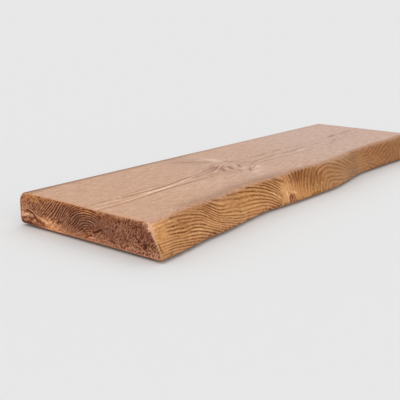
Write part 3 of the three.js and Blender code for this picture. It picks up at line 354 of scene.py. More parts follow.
# Growth rings of the left end, counted from the pith: ring number, strength,
# half width, then points as (from the wall, above the foot). A line without
# strength isn't drawn and only guides the count.
END_RINGS = [
    (0, 0.5, 0.8, [(133.6, 10.6), (135.6, 12.4), (138, 13.6), (144, 14.6)]),
    (0, 0, 1, [(149, 15), (152, 16)]), (1, 0.9, 0.8, [(130.8, 11.6), (132, 13), (133.6, 14.2)]),
    (1, 0.4, 0.7, [(133.6, 14.2), (135.6, 15.6), (138, 16.6), (142, 17.4), (146, 18.4), (150, 18)]),
    (2, 0.9, 0.8, [(125, 13.2), (126.4, 14.6), (128.6, 16)]),
    (2, 0.5, 0.7, [(128.6, 16), (131, 17.6), (134, 19.2), (137, 19.9), (141, 20)]),
    (2, 0.8, 0.8, [(143.6, 19.9), (145.6, 19.8)]), (2, 0.4, 0.7, [(147, 20.4), (149.4, 20), (152, 18)]),
    (3, 0.6, 0.7, [(120.5, 13.6), (122.6, 15), (125.4, 17.6), (129.4, 20.6), (131.4, 21.6)]),
    (3, 0.4, 0.7, [(131.4, 21.6), (135, 22.6), (138, 23.4), (144, 23), (148, 22), (152, 20.4)]),
    (4, 0.2, 0.7, [(116, 14.6), (120, 18.4), (124, 22), (127, 24), (130, 25.3)]),
    (4, 0.6, 0.7, [(130, 25.3), (134, 26), (138, 26.7), (143, 26.2), (147, 25.6), (149, 24.8),
     (152.6, 22.4)]),
    (5, 0.6, 0.9, [(113, 16.4), (116.5, 19.4), (118.4, 21.6), (120.4, 25), (124, 27.6)]),
    (5, 0.4, 0.7, [(140, 29.9), (145, 30.2), (149, 29.4), (152, 28)]), (5, 0, 1, [(131, 29), (157, 24)]),
    (6, 0.7, 0.9, [(111.4, 18.6), (114.4, 22), (117, 24.4)]),
    (6, 0.4, 0.7, [(121.6, 29), (125, 30.4), (134, 32.6)]),
    (6, 0.2, 0.7, [(141, 32.9), (147, 33), (152, 31), (158, 27)]),
    (7, 0.3, 0.8, [(104, 17.6), (108, 21.4), (112.4, 25.8)]),
    (7, 0.9, 0.9, [(112.4, 25.8), (114.6, 27.4), (117, 29.8)]),
    (7, 0.5, 0.7, [(117, 29.8), (121, 32.8), (126, 33.9), (132, 35.4)]),
    (7, 0.9, 0.8, [(132, 35.4), (134, 35.7), (140, 35.9)]),
    (7, 0.5, 0.7, [(140, 35.9), (147, 35.7), (152, 34.8), (155, 33.6), (158, 31.8)]),
    (8, 0.7, 1, [(106.6, 26.8), (109.5, 29.4), (113, 31)]),
    (8, 0.5, 0.7, [(113, 31), (117, 33.6), (121, 35.8), (127, 37.9)]),
    (8, 0.8, 0.7, [(127, 37.9), (131, 38.7), (134.6, 39.4)]),
    (8, 0.5, 0.7, [(134.6, 39.4), (138, 38.8), (142, 39.4), (145, 38.7), (152, 38.1), (157, 36.6),
     (161, 34)]),
    (9, 0.5, 0.8, [(104.6, 28.4), (107.5, 31.2), (110, 33.6)]),
    (9, 0.8, 0.8, [(110, 33.6), (115, 36.2), (119.5, 37.9)]),
    (9, 1, 0.9, [(119.5, 37.9), (122, 38.6), (124, 39.3)]),
    (9, 0.5, 0.7, [(124, 39.3), (127, 40.2), (131, 41.2)]),
    (9, 0.8, 0.8, [(131, 41.2), (134, 42), (138, 42.6), (144, 42.2), (149, 41.7), (154, 41.2)]),
    (10, 0.3, 0.7, [(104, 30.4), (107, 33.4), (110, 35.4), (113.5, 37.2)]),
    (10, 0.9, 0.8, [(113.5, 37.2), (117.5, 39.4)]),
    (10, 0.3, 0.7, [(117.5, 39.4), (121, 40.8), (128, 43.2), (136, 44.6)]),
    (11, 0.7, 0.8, [(103, 32.4), (107, 36), (109, 37.4)]),
    (11, 0.4, 0.7, [(109, 37.4), (113, 39.8), (118, 42), (123, 44)]),
    (12, 0.8, 0.8, [(101.4, 34.6), (105, 37.6), (108, 40)]),
    (12, 0.4, 0.7, [(108, 40), (112, 42.4), (116, 44.4)]), (12.5, 0.9, 0.9, [(85.6, 15), (88.8, 17.6)]),
    (13, 0.6, 0.8, [(91, 26), (93, 28.6), (95.5, 32)]),
    (13, 0.8, 0.8, [(97.6, 34.8), (100, 37), (103, 39.6), (106, 41.6)]),
    (13, 0.3, 0.7, [(106, 41.6), (110, 44)]), (13.5, 0.9, 0.9, [(80.4, 13), (82, 15.2), (84.4, 17.4)]),
    (14, 0.3, 0.7, [(86, 24.4), (90, 31), (93, 35)]), (14, 0.8, 0.8, [(96.6, 38.6), (99, 40.8)]),
    (15, 0.6, 0.7, [(74.6, 17.4), (77, 18.8), (80, 21)]),
    (15, 0.3, 0.7, [(80, 21), (84.6, 28.6), (87.6, 33)]), (15, 0.9, 0.8, [(91.5, 37), (95, 40.3)]),
    (16, 0.9, 0.8, [(68, 15.4), (70, 17), (73, 19)]),
    (16, 0.5, 0.7, [(73, 19), (77, 23.8), (81, 28.6), (84.5, 33), (87.4, 36.8)]),
    (16, 0.9, 0.8, [(89.4, 39.2), (92.5, 41.6)]),
    (17, 0.9, 0.8, [(63.6, 18.6), (66, 20.2), (69, 22.4), (72, 25.6)]),
    (17, 0.4, 0.7, [(72, 25.6), (75, 28.4), (78, 32), (80.4, 35.6), (84, 40), (87, 43)]),
    (18, 0.3, 0.7, [(60.4, 20.6), (65, 25.6)]), (18, 0.5, 0.7, [(75, 35), (79, 40.4), (82, 43.4)]),
    (20, 0.3, 0.7, [(50, 19.6), (53.6, 22.8), (57, 26.2)]),
    (20, 1, 0.9, [(57, 26.2), (60, 29), (63, 32), (66, 35.4), (70, 39), (73, 41.6)]),
    (21, 0.7, 0.8, [(60.5, 35), (64, 38.4)]), (28, 0, 1, [(20, 29.6), (26, 34.6)]),
]
# Flecks of bark along the foot of the edge: place, height, reach, strength
BARK_FLECKS = [
    (20, 3.6, 3, 0.6), (72, 3.6, 3, 0.7), (108, 3.2, 3, 0.6), (119, 5, 2.6, 0.8), (146, 3, 4, 0.6),
    (155, 3.4, 3, 0.5), (165, 3.2, 3.5, 0.6), (181, 3.2, 3, 0.6), (207, 3, 3, 0.6), (252, 3.4, 4.5, 1),
    (272, 2.8, 3.5, 0.7), (280, 3.6, 2.6, 1), (288, 3, 2.6, 0.9), (294, 2.8, 2.6, 0.8),
    (299, 3.8, 2.6, 0.9), (310, 2.8, 3, 1), (316, 3.8, 2.4, 0.6), (324.7, 3.3, 3, 0.8),
    (332.5, 3.3, 3.5, 1), (343, 2.8, 4, 0.7), (357, 4, 3, 0.5), (367, 2.4, 3.5, 0.6), (387, 3.6, 4.5, 1),
    (394, 3.3, 4, 0.8), (400, 4.3, 3, 0.9), (407, 3.3, 4, 0.7), (421, 3.8, 4, 0.8), (437, 2.6, 4, 0.6),
    (453, 3.4, 4, 0.6), (495, 3.8, 5, 0.6), (519, 3.8, 5, 0.8), (534, 4.2, 5, 0.6), (563, 3.8, 5, 0.7),
    (585, 4.8, 6, 0.6), (600, 4.4, 6, 0.6), (629, 2.8, 4, 0.7), (645, 4.2, 4.5, 0.8), (655, 3.8, 4, 0.6),
    (668, 4, 6, 0.9), (682, 3.6, 4, 0.7), (704, 3, 6, 0.7), (722, 3.6, 5, 0.5), (735, 3.8, 6, 0.6),
    (752, 3.4, 6, 0.5), (775, 3.6, 6, 0.6), (790, 3.4, 5, 0.5),
]
# Broad places of colour on each face: centre, reach, colour, strength
TOP_PATCHES = [
    ((0, 130), (6, 200), (216, 158, 116), 1.2), ((40, 60), (150, 120), (203, 161, 131), 0.8),
    ((30, 200), (120, 60), (205, 163, 131), 0.7), ((340, 75), (20, 22), (212, 180, 160), 0.7),
    ((298, 134), (34, 24), (184, 147, 124), 0.9), ((328, 178), (26, 26), (210, 176, 155), 0.8),
    ((420, 110), (70, 60), (199, 165, 143), 0.6), ((700, 90), (160, 120), (205, 176, 163), 0.7),
    ((190, 172), (60, 14), (211, 176, 151), 0.6), ((300, 45), (30, 30), (188, 153, 132), 0.5),
    ((560, 160), (140, 60), (203, 173, 155), 0.5), ((80, 150), (80, 16), (228, 180, 140), 0.3),
]
EDGE_PATCHES = [
    # The first patch here is a painted highlight on the corner where the edge meets the left end
    ((3, 40), (5, 6), (226, 170, 138), 2), ((12, 34), (16, 16), (204, 148, 99), 0.9),
    ((62, 22), (22, 12), (170, 115, 70), 0.7), ((112, 38), (16, 7), (160, 107, 70), 0.8),
    ((115, 5), (26, 5), (154, 103, 67), 0.8), ((110, 14), (60, 6), (190, 138, 94), 0.6),
    ((70, 6), (18, 6), (176, 120, 82), 0.5), ((160, 28), (34, 10), (186, 133, 88), 0.7),
    ((215, 32), (30, 9), (178, 123, 76), 0.7), ((215, 16), (40, 10), (192, 141, 94), 0.8),
    ((232, 10), (14, 6), (196, 130, 88), 0.6), ((245, 26), (24, 8), (186, 133, 85), 0.6),
    ((285, 38), (26, 7), (158, 106, 64), 0.8), ((292, 16), (16, 12), (193, 142, 96), 0.7),
    ((284, 6), (18, 6), (172, 114, 74), 0.6), ((316, 22), (17, 15), (215, 160, 112), 1),
    ((318, 40), (16, 6), (180, 122, 76), 0.8), ((346, 14), (16, 9), (198, 143, 97), 0.8),
    ((352, 26), (18, 9), (166, 108, 66), 0.8), ((366, 37), (26, 8), (132, 78, 38), 1),
    ((360, 15), (18, 8), (188, 124, 76), 0.7), ((400, 30), (30, 12), (148, 96, 53), 1),
    ((398, 16), (30, 9), (164, 112, 64), 0.9), ((392, 8), (30, 6), (186, 128, 78), 0.8),
    ((329, 9), (7, 5), (150, 94, 58), 1.4), ((372, 7), (14, 6), (206, 148, 96), 0.8),
    ((432, 36), (16, 7), (172, 116, 78), 0.8), ((448, 26), (26, 12), (174, 124, 85), 0.9),
    ((450, 10), (40, 9), (180, 132, 90), 0.9), ((455, 42), (34, 4), (180, 136, 104), 0.8),
    ((500, 30), (40, 14), (166, 121, 86), 1), ((495, 12), (34, 9), (176, 130, 90), 0.9),
    ((512, 18), (20, 9), (172, 122, 92), 0.8), ((500, 43), (44, 4), (178, 138, 110), 0.8),
    ((550, 26), (36, 16), (154, 112, 78), 1), ((550, 9), (36, 9), (154, 114, 90), 0.9),
    ((560, 43), (30, 5), (162, 118, 84), 0.8), ((590, 22), (20, 16), (176, 126, 84), 0.9),
    ((620, 34), (34, 12), (160, 107, 68), 1), ((620, 14), (34, 10), (168, 117, 80), 0.9),
    ((665, 30), (40, 14), (154, 102, 62), 1), ((665, 12), (40, 10), (164, 112, 74), 0.9),
    ((640, 43), (60, 4), (164, 116, 82), 0.8), ((715, 30), (36, 16), (148, 99, 62), 1),
    ((715, 10), (40, 9), (152, 100, 68), 0.9), ((720, 43), (50, 4), (170, 127, 96), 0.8),
    ((770, 26), (36, 20), (156, 106, 68), 0.9),
]
END_PATCHES = [
    ((10, 36), (14, 18), (172, 118, 88), 0.9), ((32, 43), (40, 5.5), (168, 112, 64), 1),
    ((90, 43.5), (60, 3.6), (148, 95, 58), 0.9), ((150, 43.5), (40, 2.6), (150, 100, 66), 0.8),
    ((205, 43.5), (50, 3), (142, 92, 60), 0.8), ((28, 39), (10, 4), (170, 112, 52), 0.8),
    ((185, 38), (20, 4), (120, 70, 44), 0.6), ((225, 37), (16, 5), (112, 66, 40), 0.8),
    ((14, 14), (12, 5), (196, 150, 118), 0.8), ((20, 9), (16, 5), (150, 98, 70), 0.8),
    ((18, 2.6), (18, 3), (112, 72, 50), 0.9), ((30, 10), (8, 6), (168, 110, 74), 0.7),
    ((45, 5), (14, 6), (156, 100, 72), 0.8), ((66, 6), (13, 9), (210, 152, 108), 1),
    ((58, 12), (14, 4), (200, 146, 110), 0.7), ((86, 5), (14, 6), (186, 134, 100), 0.9),
    ((108, 6), (16, 5), (158, 108, 80), 0.8), ((140, 5), (14, 6), (176, 120, 84), 0.9),
    ((152, 4), (14, 5), (160, 110, 84), 0.7), ((172, 8), (22, 6), (142, 98, 74), 0.6),
    ((120, 24), (16, 14), (110, 71, 52), 0.7), ((150, 28), (20, 10), (116, 77, 56), 0.5),
    ((183, 20), (14, 12), (122, 80, 62), 0.7), ((206, 22), (14, 18), (130, 86, 65), 0.7),
    ((238, 22), (12, 14), (112, 66, 48), 0.7), ((222, 6), (26, 6), (154, 104, 82), 0.8),
    ((248, 8), (14, 8), (146, 102, 76), 0.8), ((50, 30), (26, 9), (142, 94, 66), 0.6),
    # The first patch here is a painted highlight on the corner where the end meets the natural edge
    ((250, 40), (6, 5), (226, 168, 138), 1.6), ((18, 29), (16, 5), (120, 80, 56), 0.6),
    ((135, 40), (22, 4), (176, 112, 62), 0.6), ((146, 17), (10, 4), (164, 112, 86), 0.5),
    ((205, 5), (50, 3), (190, 140, 110), 0.6), ((40, 20), (20, 5), (140, 90, 60), 0.6),
    ((95, 30), (16, 10), (126, 80, 58), 0.6),
]

# How much each face's colours are raised to come out of the light as written
TOP_GAIN, EDGE_GAIN, END_GAIN = (1.0, 0.975, 0.97), (1.27, 1.25, 1.1), (1.40, 1.24, 1.10)

# Even colours under the patches, of the upper arris, of the rim's painted highlight and of the pockets
# The top's even colour is partly the wood's own, partly a painted pale sheen
TOP_COLOUR, EDGE_COLOUR, END_COLOUR = (202, 165, 141), (172, 122, 84), (132, 88, 64)
ARRIS_COLOUR, RIM_HIGHLIGHT_COLOUR, POCKET_COLOUR = (205, 162, 136), (230, 180, 146), (150, 104, 70)
UNDERSIDE_SHADE = (0.86, 0.82, 0.78)

# Columns of a look, and the layer of the grain's noise that each face takes
TINT, GRAIN, GRAIN_LAYER = slice(0, 3), slice(3, 6), 5
TONE, RING, RIDGE, LEVEL, LOOK_COLUMNS = 6, 7, 8, 9, 10
EDGE_LAYER, TOP_LAYER, UNDERSIDE_LAYER, END_LAYER = 3.0, 11.0, 31.0, 31.0

# Soft strokes, patches and ring fields
STROKE_REACH, BASE_WEIGHT = 2.6, 0.3
RING_STRETCH, EDGE_RING_SLACK, END_RING_SLACK = (1.0, 1.6), 300.0, 3.0
FIELD_PORTION = 3000

# Looks of the natural edge. Profiles hold places along it, then values.
ARRIS_FOOT, ARRIS_REACH = 41.5, 3.5
ARRIS_PALENESS = (0, 60, 100, 300, 380), (0.9, 0.8, 0.5, 0.5, 0.8)
EDGE_SHADE = (280, 440), (1.0, 0.88)
EDGE_CONTRAST = (0, 40, 290, 400, 480), (0.6, 1, 1, 0.6, 0.4)
# The edge's ring strength also carries the painted highlight on the ridges between its lines
EDGE_RIDGE, EDGE_LEVEL, EDGE_PALE_TONE = 0.5, 0.3, 0.8
EDGE_DARK_LEAST, EDGE_DARK_GAIN = 0.3, 0.35
EDGE_GRAIN_PITCH, RING_GRAIN = 12, 2.4
FLECK_STRENGTH, FLECK_WIDTH, FLECK_RISE = 2.4, 1.3, 0.6
# Soft places where its rings fade: strength, half width, points
EDGE_CALM = [
    (1.0, 9.0, [(8, 34), (20, 28)]), (1.0, 12.0, [(318, 30), (318, 16), (338, 14)]),
    (0.8, 5.0, [(165, 31), (200, 29)]), (0.7, 6.0, [(200, 24), (225, 24)]),
    (0.5, 5.0, [(28, 39), (95, 40)]), (0.5, 5.0, [(145, 40), (215, 40)]),
]

# Looks of the top, with painted shade along its front arris and over its back round, where it
# turns from the light. Its grain runs in waves and bends round the knot.
FRONT_SHADE_REACH = (0, 28), (1, 0)
FRONT_SHADE_STRETCH = (60, 100, 300, 370), (0, 1, 1, 0)
FRONT_SHADE = (0.45, 0.5, 0.55)
BACK_SHIFT = (0, 70), (7, 0)
BACK_REACH = (11, 20), (1, 0)
BACK_STRETCH = (240, 480), (1, 0.3)
BACK_SHADE = (0.52, 0.62, 0.7)
WAVE_HEIGHT, WAVE_PITCH, WAVE_START = 5, 95, 0.6
RIPPLE_HEIGHT, RIPPLE_PITCH, RIPPLE_LEAN = 3, 41, 70
KNOT_PLACE, KNOT_REACH, KNOT_BEND, KNOT_CORE = (322, 142), (45, 40), 26, 22
TOP_LEVEL, TOP_PALE_TONE, TOP_GRAIN_PITCH = 0.2, 0.75, (24, 2.8)

# Looks of the ends, with profiles by height and by distance from the wall
END_RIDGE_UP = (4, 12, 24, 36), (0.1, 0.4, 0.8, 1.1)
END_RIDGE_ACROSS = (25, 65, 150, 166), (0.2, 1, 1, 0)
# Painted light: the ends' eased foot is lightened against the shade that falls there near the floor
FOOT_LIGHT_UP = (0, 4), (1.1, 0)
FOOT_LIGHT_ACROSS = (30, 50), (0.3, 1)
END_LEVEL = (30, 65, 120, 185, 215), (0.9, 0.6, 0.5, 0.8, 1.25)
SMOOTH_PLACE, SMOOTH_REACH, SMOOTH_SHARE = (45, 6), (40, 8), 0.6
END_PALE_TONE, END_DARK_TONE, END_RING_TONE, DRAWN_CALM = 1.7, 2.1, 2.2, 0.85
END_GRAIN_PITCH = (7, 2.2)

# Looks of the eased rim between an end and the skin, with a painted highlight on its front corner
RIM_START, RIM_BLEND = ((100, 135, 225, 240), (0.3, 0.1, 0.1, 0.3)), 0.3
RIM_HIGHLIGHT_FROM, RIM_HIGHLIGHT_RISE, RIM_HIGHLIGHT_CALM = 238, 6, 0.9
RIM_HIGHLIGHT_UP = (2, 7, 11, 19, 27, 36), (0, 0.9, 0.25, 1, 0.7, 1)
RIM_HIGHLIGHT_START = (12, 28), (0.25, 0.0)
RIM_HIGHLIGHT_IN, RIM_HIGHLIGHT_END, RIM_HIGHLIGHT_OUT = 0.2, 0.4, 0.25

# Saw marks and pores of an end: seeds of the pale and the dark ones, how many
# there are, and from where to where each measure is drawn
LEFT_SEEDS, RIGHT_SEEDS, SAW_MARKS = (5, 6), (8, 9), 260
SAW_DEPTHS, SAW_HEIGHTS, SAW_SLOPES = (2, 264), (1, 44), (38, 56)
SAW_LENGTHS, SAW_STRENGTHS, SAW_WIDTHS = (1.5, 7.5), (0.3, 1.1), (0.55, 0.85)
STEEP_FROM, STEEPER = 185, 22

# How deep the marks are cut: lines of the natural edge, cracks and pores
GROOVE_DEPTH, CRACK_DEPTH, PORE_DEPTH, GROOVE_FADE = 0.3, 1.2, 0.12, 3


def cubic(places, values, at):
    """The cubic curve that the CAD source draws through its table."""
    last = len(places) - 1
    after = np.clip(np.searchsorted(places, at, side="right"), 1, last)
    before = after - 1
    t0, t1 = places[before], places[after]
    previous = np.where(before > 0, before - 1, after)
    following = np.where(after < last, np.minimum(after + 1, last), before)
    half = (t1 - t0) / 2
    lean = half / (t0 - np.where(before > 0, places[previous], t1))
    rise = half / (np.where(after < last, places[following], t0) - t1)
    p = (at - t0) / (t1 - t0)
    weights = (-lean * p ** 3 + 2 * lean * p ** 2 - lean * p,
               (1 + lean) * p ** 3 + (-1.5 - 2 * lean) * p ** 2 + (-0.5 + lean) * p + 1,
               (-1 - rise) * p ** 3 + (1.5 + rise) * p ** 2 + 0.5 * p,
               rise * p ** 3 - rise * p ** 2)
    return sum(w[:, None] * values[k] for w, k in zip(weights, (previous, before, after, following)))


def stations():
    """Places along the plank, and how far its outline is drawn in at each."""
    plain = LENGTH / 2 - END_EASE
    turns = np.linspace(0, math.pi / 2, END_ROWS + 1)[1:]
    reach = plain + END_EASE * np.sin(turns)
    inset = END_EASE * (1 - np.cos(turns))
    split = NEAR_REACH - LENGTH / 2
    near = np.arange(-plain, split, NEAR_PITCH)
    far = np.linspace(split, plain, int((plain - split) / FAR_PITCH) + 1)
    level = np.zeros(len(near) + len(far))
    return np.concatenate([-reach[::-1], near, far, reach]), np.concatenate([inset[::-1], level, inset])


def rounded_corner(before, corner, after, radius, steps):
    """A corner between two sides, rounded by a conic arc."""
    inward, outward = before - corner, after - corner
    long_in, long_out = np.linalg.norm(inward), np.linalg.norm(outward)
    half = math.acos(np.clip(inward @ outward / (long_in * long_out), -1, 1)) / 2
    tangent = min(radius / math.tan(half), long_in / 2, long_out / 2)
    start = corner + inward * tangent / long_in
    end = corner + outward * tangent / long_out
    t = np.linspace(0, 1, steps + 1)[:, None]
    a, b, c = (1 - t) ** 2, 2 * math.sin(half) * t * (1 - t), t * t
    return (a * start + b * corner + c * end) / (a + b + c)


def evenly(points, count):
    """A polyline's points again, evenly spaced along it."""
    run = np.concatenate([[0], np.cumsum(np.linalg.norm(np.diff(points, axis=0), axis=1))])
    at = np.linspace(0, run[-1], count)
    return np.stack([np.interp(at, run, points[:, k]) for k in (0, 1)], 1)


def section(shares, inset):
    """The outline across the plank in (y, z), as its parts in order: back top
    round, top, natural edge, underside and back foot round."""
    top, belly, foot = shares[:3] * DEPTH
    low, high = FOOT + inset, TOP - inset
    corners = [np.array(corner) for corner in (
        (-inset, low), (-inset, high), (inset - top, high),
        (inset - belly, FOOT + BELLY_HEIGHT_SHARE * THICKNESS), (inset - foot, low))]
    rounds = (BACK_FOOT_ROUND, BACK_TOP_ROUND, shares[3] * THICKNESS,
              BELLY_ROUND_SHARE * DEPTH, FRONT_FOOT_ROUND)
    arcs = [rounded_corner(corners[k - 1], corners[k], corners[(k + 1) % 5], rounds[k],
                           ARC_STEPS if k > 1 else CORNER_STEPS) for k in range(5)]
    y = np.concatenate([np.arange(-BACK_TOP_ROUND - END_EASE - TOP_PITCH, -TOP_FINE_FROM, -TOP_PITCH),
                        np.arange(-TOP_FINE_FROM, -TOP_FINE_TO, -TOP_FINE_PITCH),
                        np.linspace(-TOP_FINE_TO, arcs[2][0, 0], TOP_LAST_ROWS)[:-1]])
    front = evenly(np.concatenate([arcs[2], arcs[3], arcs[4]]), FRONT_ROWS)
    underside = np.linspace(arcs[4][-1], arcs[0][0], BOTTOM_ROWS + 1)[1:-1]
    return arcs[1], np.stack([y, np.full(len(y), high)], 1), front, underside, arcs[0]


def linear(colour):
    """A colour of 0 to 255 as it is seen, in the linear values of shaders."""
    c = np.asarray(colour, float) / 255
    return np.where(c <= 0.04045, c / 12.92, ((c + 0.055) / 1.055) ** 2.4)


def strokes(points, lines):
    """How strongly soft-edged lines cover each point."""
    cover = np.zeros(len(points))
    for strength, width, line in lines:
        line = np.array(line, float)
        reach = STROKE_REACH * width
        close = np.all((points > line.min(0) - reach) & (points < line.max(0) + reach), axis=1)
        spot = points[close]
        gap = np.full(len(spot), np.inf)
        for a, b in zip(line[:-1], line[1:]):
            t = np.clip((spot - a) @ (b - a) / ((b - a) @ (b - a)), 0, 1)
            gap = np.minimum(gap, np.linalg.norm(spot - a - t[:, None] * (b - a), axis=1))
        cover[close] = np.maximum(cover[close], strength * np.exp(-(gap / width) ** 2))
    return cover


def patches(points, base, places):
    """Soft places of colour, weighed against an even base colour."""
    weight = np.full(len(points), BASE_WEIGHT)
    total = weight[:, None] * linear(base)
    for centre, reach, colour, strength in places:
        w = strength * np.exp(-(((points - centre) / reach) ** 2).sum(1))
        total += w[:, None] * linear(colour)
        weight += w
    return total / weight[:, None]


def ring_field(lines, slack):
    """A smooth field that takes each ring line's number along that line, more
    loosely the more slack it has."""
    places = np.array([p for _, _, _, line in lines for p in line], float)
    numbers = np.array([number for number, _, _, line in lines for _ in line], float)

    def kernel(a):
        r2 = (((a[:, None] - places) * np.array(RING_STRETCH)) ** 2).sum(2) + 1e-9
        return r2 * np.log(r2) / 2

    n = len(places)
    plane = np.hstack([np.ones((n, 1)), places])
    system = np.zeros((n + 3, n + 3))
    system[:n, :n] = kernel(places) + slack * np.eye(n)
    system[:n, n:], system[n:, :n] = plane, plane.T
    weights = np.linalg.solve(system, np.append(numbers, np.zeros(3)))
    return lambda p: kernel(p) @ weights[:n] + np.hstack([np.ones((len(p), 1)), p]) @ weights[n:]


def look(tint, grain, tone=0.0, ring=0.0, ridge=0.0, level=0.5):
    """One row per point: colour (3), place in the grain (3), tone (below zero
    is darker), ring count, how strong the rings are, and the grain's strength."""
    rest = [np.broadcast_to(value, len(tint)) for value in (tone, ring, ridge, level)]
    return np.column_stack([tint, grain] + rest)


def grain_place(along, across, layer):
    """Places in the noise of the grain, all in one layer."""
    return np.stack([along, across, np.full(len(along), layer)], 1)


def hill(points, centre, reach):
    """One at the centre, and falling off softly round it."""
    across, up = ((points[:, k] - centre[k]) / reach[k] for k in (0, 1))
    return np.exp(-across ** 2 - up ** 2)


def edge_look(s, h):
    """The natural edge, by distance from the left end and height above the
    foot."""
    p = np.stack([s, h], 1)
    raised = np.clip((h - ARRIS_FOOT) / ARRIS_REACH, 0, 1)
    pale = (raised * np.interp(s, *ARRIS_PALENESS))[:, None]
    tint = patches(p, EDGE_COLOUR, EDGE_PATCHES) * (1 - pale) + pale * linear(ARRIS_COLOUR)
    tint *= np.interp(s, *EDGE_SHADE)[:, None]
    flecks = [(FLECK_STRENGTH * strength, FLECK_WIDTH,
               [(at - reach / 2, height), (at + reach / 2, height + FLECK_RISE)])
              for at, height, reach, strength in BARK_FLECKS]
    dark = strokes(p, [line[1:] for line in EDGE_LINES] + EDGE_MARKS + flecks)
    field = ring_field(EDGE_LINES, EDGE_RING_SLACK)
    number = np.concatenate([field(part) for part in np.array_split(p, 1 + len(p) // FIELD_PORTION)])
    contrast = np.interp(s, *EDGE_CONTRAST)
    ridge = EDGE_RIDGE * contrast * (1 - strokes(p, EDGE_CALM)) * (1 - raised)
    tone = EDGE_PALE_TONE * strokes(p, EDGE_PALE) - dark * (EDGE_DARK_LEAST + EDGE_DARK_GAIN * contrast)
    grain = grain_place(s / EDGE_GRAIN_PITCH, number * RING_GRAIN, EDGE_LAYER)
    gain = np.outer(1 - raised, EDGE_GAIN) + np.outer(raised, TOP_GAIN)
    return look(tint * gain, grain, tone, number, ridge, EDGE_LEVEL * contrast)


def top_look(x, y):
    """The top, by distance from the left end and from the wall."""
    p = np.stack([x, y], 1)
    front = DEPTH * np.interp(x / LENGTH, WANEY_EDGE_SHARES[:, 0], WANEY_EDGE_SHARES[:, 1])
    # Painted shade: darker near the front arris and over the back round, where the top turns from the light
    front_shade = np.interp(front - y, *FRONT_SHADE_REACH) * np.interp(x, *FRONT_SHADE_STRETCH)
    back = np.interp(y - np.interp(x, *BACK_SHIFT), *BACK_REACH) * np.interp(x, *BACK_STRETCH)
    tint = patches(p, TOP_COLOUR, TOP_PATCHES)
    tint = tint * (1 - np.outer(front_shade, FRONT_SHADE)) * (1 - np.outer(back, BACK_SHADE))
    bend = KNOT_BEND * hill(p, KNOT_PLACE, KNOT_REACH) * np.tanh((y - KNOT_PLACE[1]) / KNOT_CORE)
    drift = y + WAVE_HEIGHT * np.sin(x / WAVE_PITCH + WAVE_START) + bend
    drift = drift + RIPPLE_HEIGHT * np.sin(x / RIPPLE_PITCH + y / RIPPLE_LEAN)
    grain = grain_place(x / TOP_GRAIN_PITCH[0], drift / TOP_GRAIN_PITCH[1], TOP_LAYER)
    tone = TOP_PALE_TONE * strokes(p, TOP_PALE) - strokes(p, TOP_DARK)
    return look(tint * TOP_GAIN, grain, tone, level=TOP_LEVEL)


def underside_look(x, y):
    """The underside: sawn like the top, darker, and without drawn marks."""
    got = top_look(x, y)
    got[:, TINT] *= UNDERSIDE_SHADE
    got[:, GRAIN_LAYER] = UNDERSIDE_LAYER
    got[:, TONE] = 0
    return got


def smooth(t):
    """From 0 to 1, eased at both ends."""
    t = np.clip(t, 0, 1)
    return t * t * (3 - 2 * t)


def saw_marks(seed):
    """Short slanted pores and saw marks scattered over an end."""
    rng = np.random.default_rng(seed)
    marks = []
    for _ in range(SAW_MARKS):
        centre = np.array([rng.uniform(*SAW_DEPTHS), rng.uniform(*SAW_HEIGHTS)])
        steeper = STEEPER if centre[0] > STEEP_FROM else 0
        slope = math.radians(rng.uniform(*SAW_SLOPES) + steeper)
        reach = rng.uniform(*SAW_LENGTHS)
        step = np.array([math.cos(slope), math.sin(slope)]) * reach / 2
        marks.append((rng.uniform(*SAW_STRENGTHS), rng.uniform(*SAW_WIDTHS), [centre - step, centre + step]))
    return marks


def end_look(y, h, left):
    """The end grain, by distance from the wall and height above the foot, with
    the look and how deep each point is cracked. The right end has no drawn
    marks and only the later half of the patches."""
    p = np.stack([y, h], 1)
    number = ring_field(END_RINGS, END_RING_SLACK)(p)
    ridge = np.interp(h, *END_RIDGE_UP) * np.interp(y, *END_RIDGE_ACROSS)
    tint = patches(p, END_COLOUR, END_PATCHES if left else END_PATCHES[len(END_PATCHES) // 2:])
    pale_seed, dark_seed = LEFT_SEEDS if left else RIGHT_SEEDS
    tone = strokes(p, saw_marks(pale_seed)) - strokes(p, saw_marks(dark_seed))
    drawn, crack = np.zeros(len(y)), np.zeros(len(y))
    if left:
        dark, light = strokes(p, END_DARK), strokes(p, END_PALE)
        drawn = np.minimum(np.maximum(dark, light), 1)
        rings = strokes(p, [line[1:] for line in END_RINGS])
        tone = tone * (1 - drawn) * (1 - rings) + END_PALE_TONE * light
        tone = tone - END_DARK_TONE * dark - END_RING_TONE * rings
        crack = strokes(p, END_DARK[:CRACKS])
    # Painted light on the foot of the end
    foot_light = np.interp(h, *FOOT_LIGHT_UP) * np.interp(y, *FOOT_LIGHT_ACROSS)
    tint = tint * (1 + foot_light)[:, None]
    clear = (1 - DRAWN_CALM * drawn) * (1 - SMOOTH_SHARE * hill(p, SMOOTH_PLACE, SMOOTH_REACH))
    level = np.interp(y, *END_LEVEL) * clear
    grain = grain_place((y + h) / END_GRAIN_PITCH[0], (h - y) / END_GRAIN_PITCH[1], END_LAYER)
    return look(tint * END_GAIN, grain, tone, number, ridge * clear, level), crack


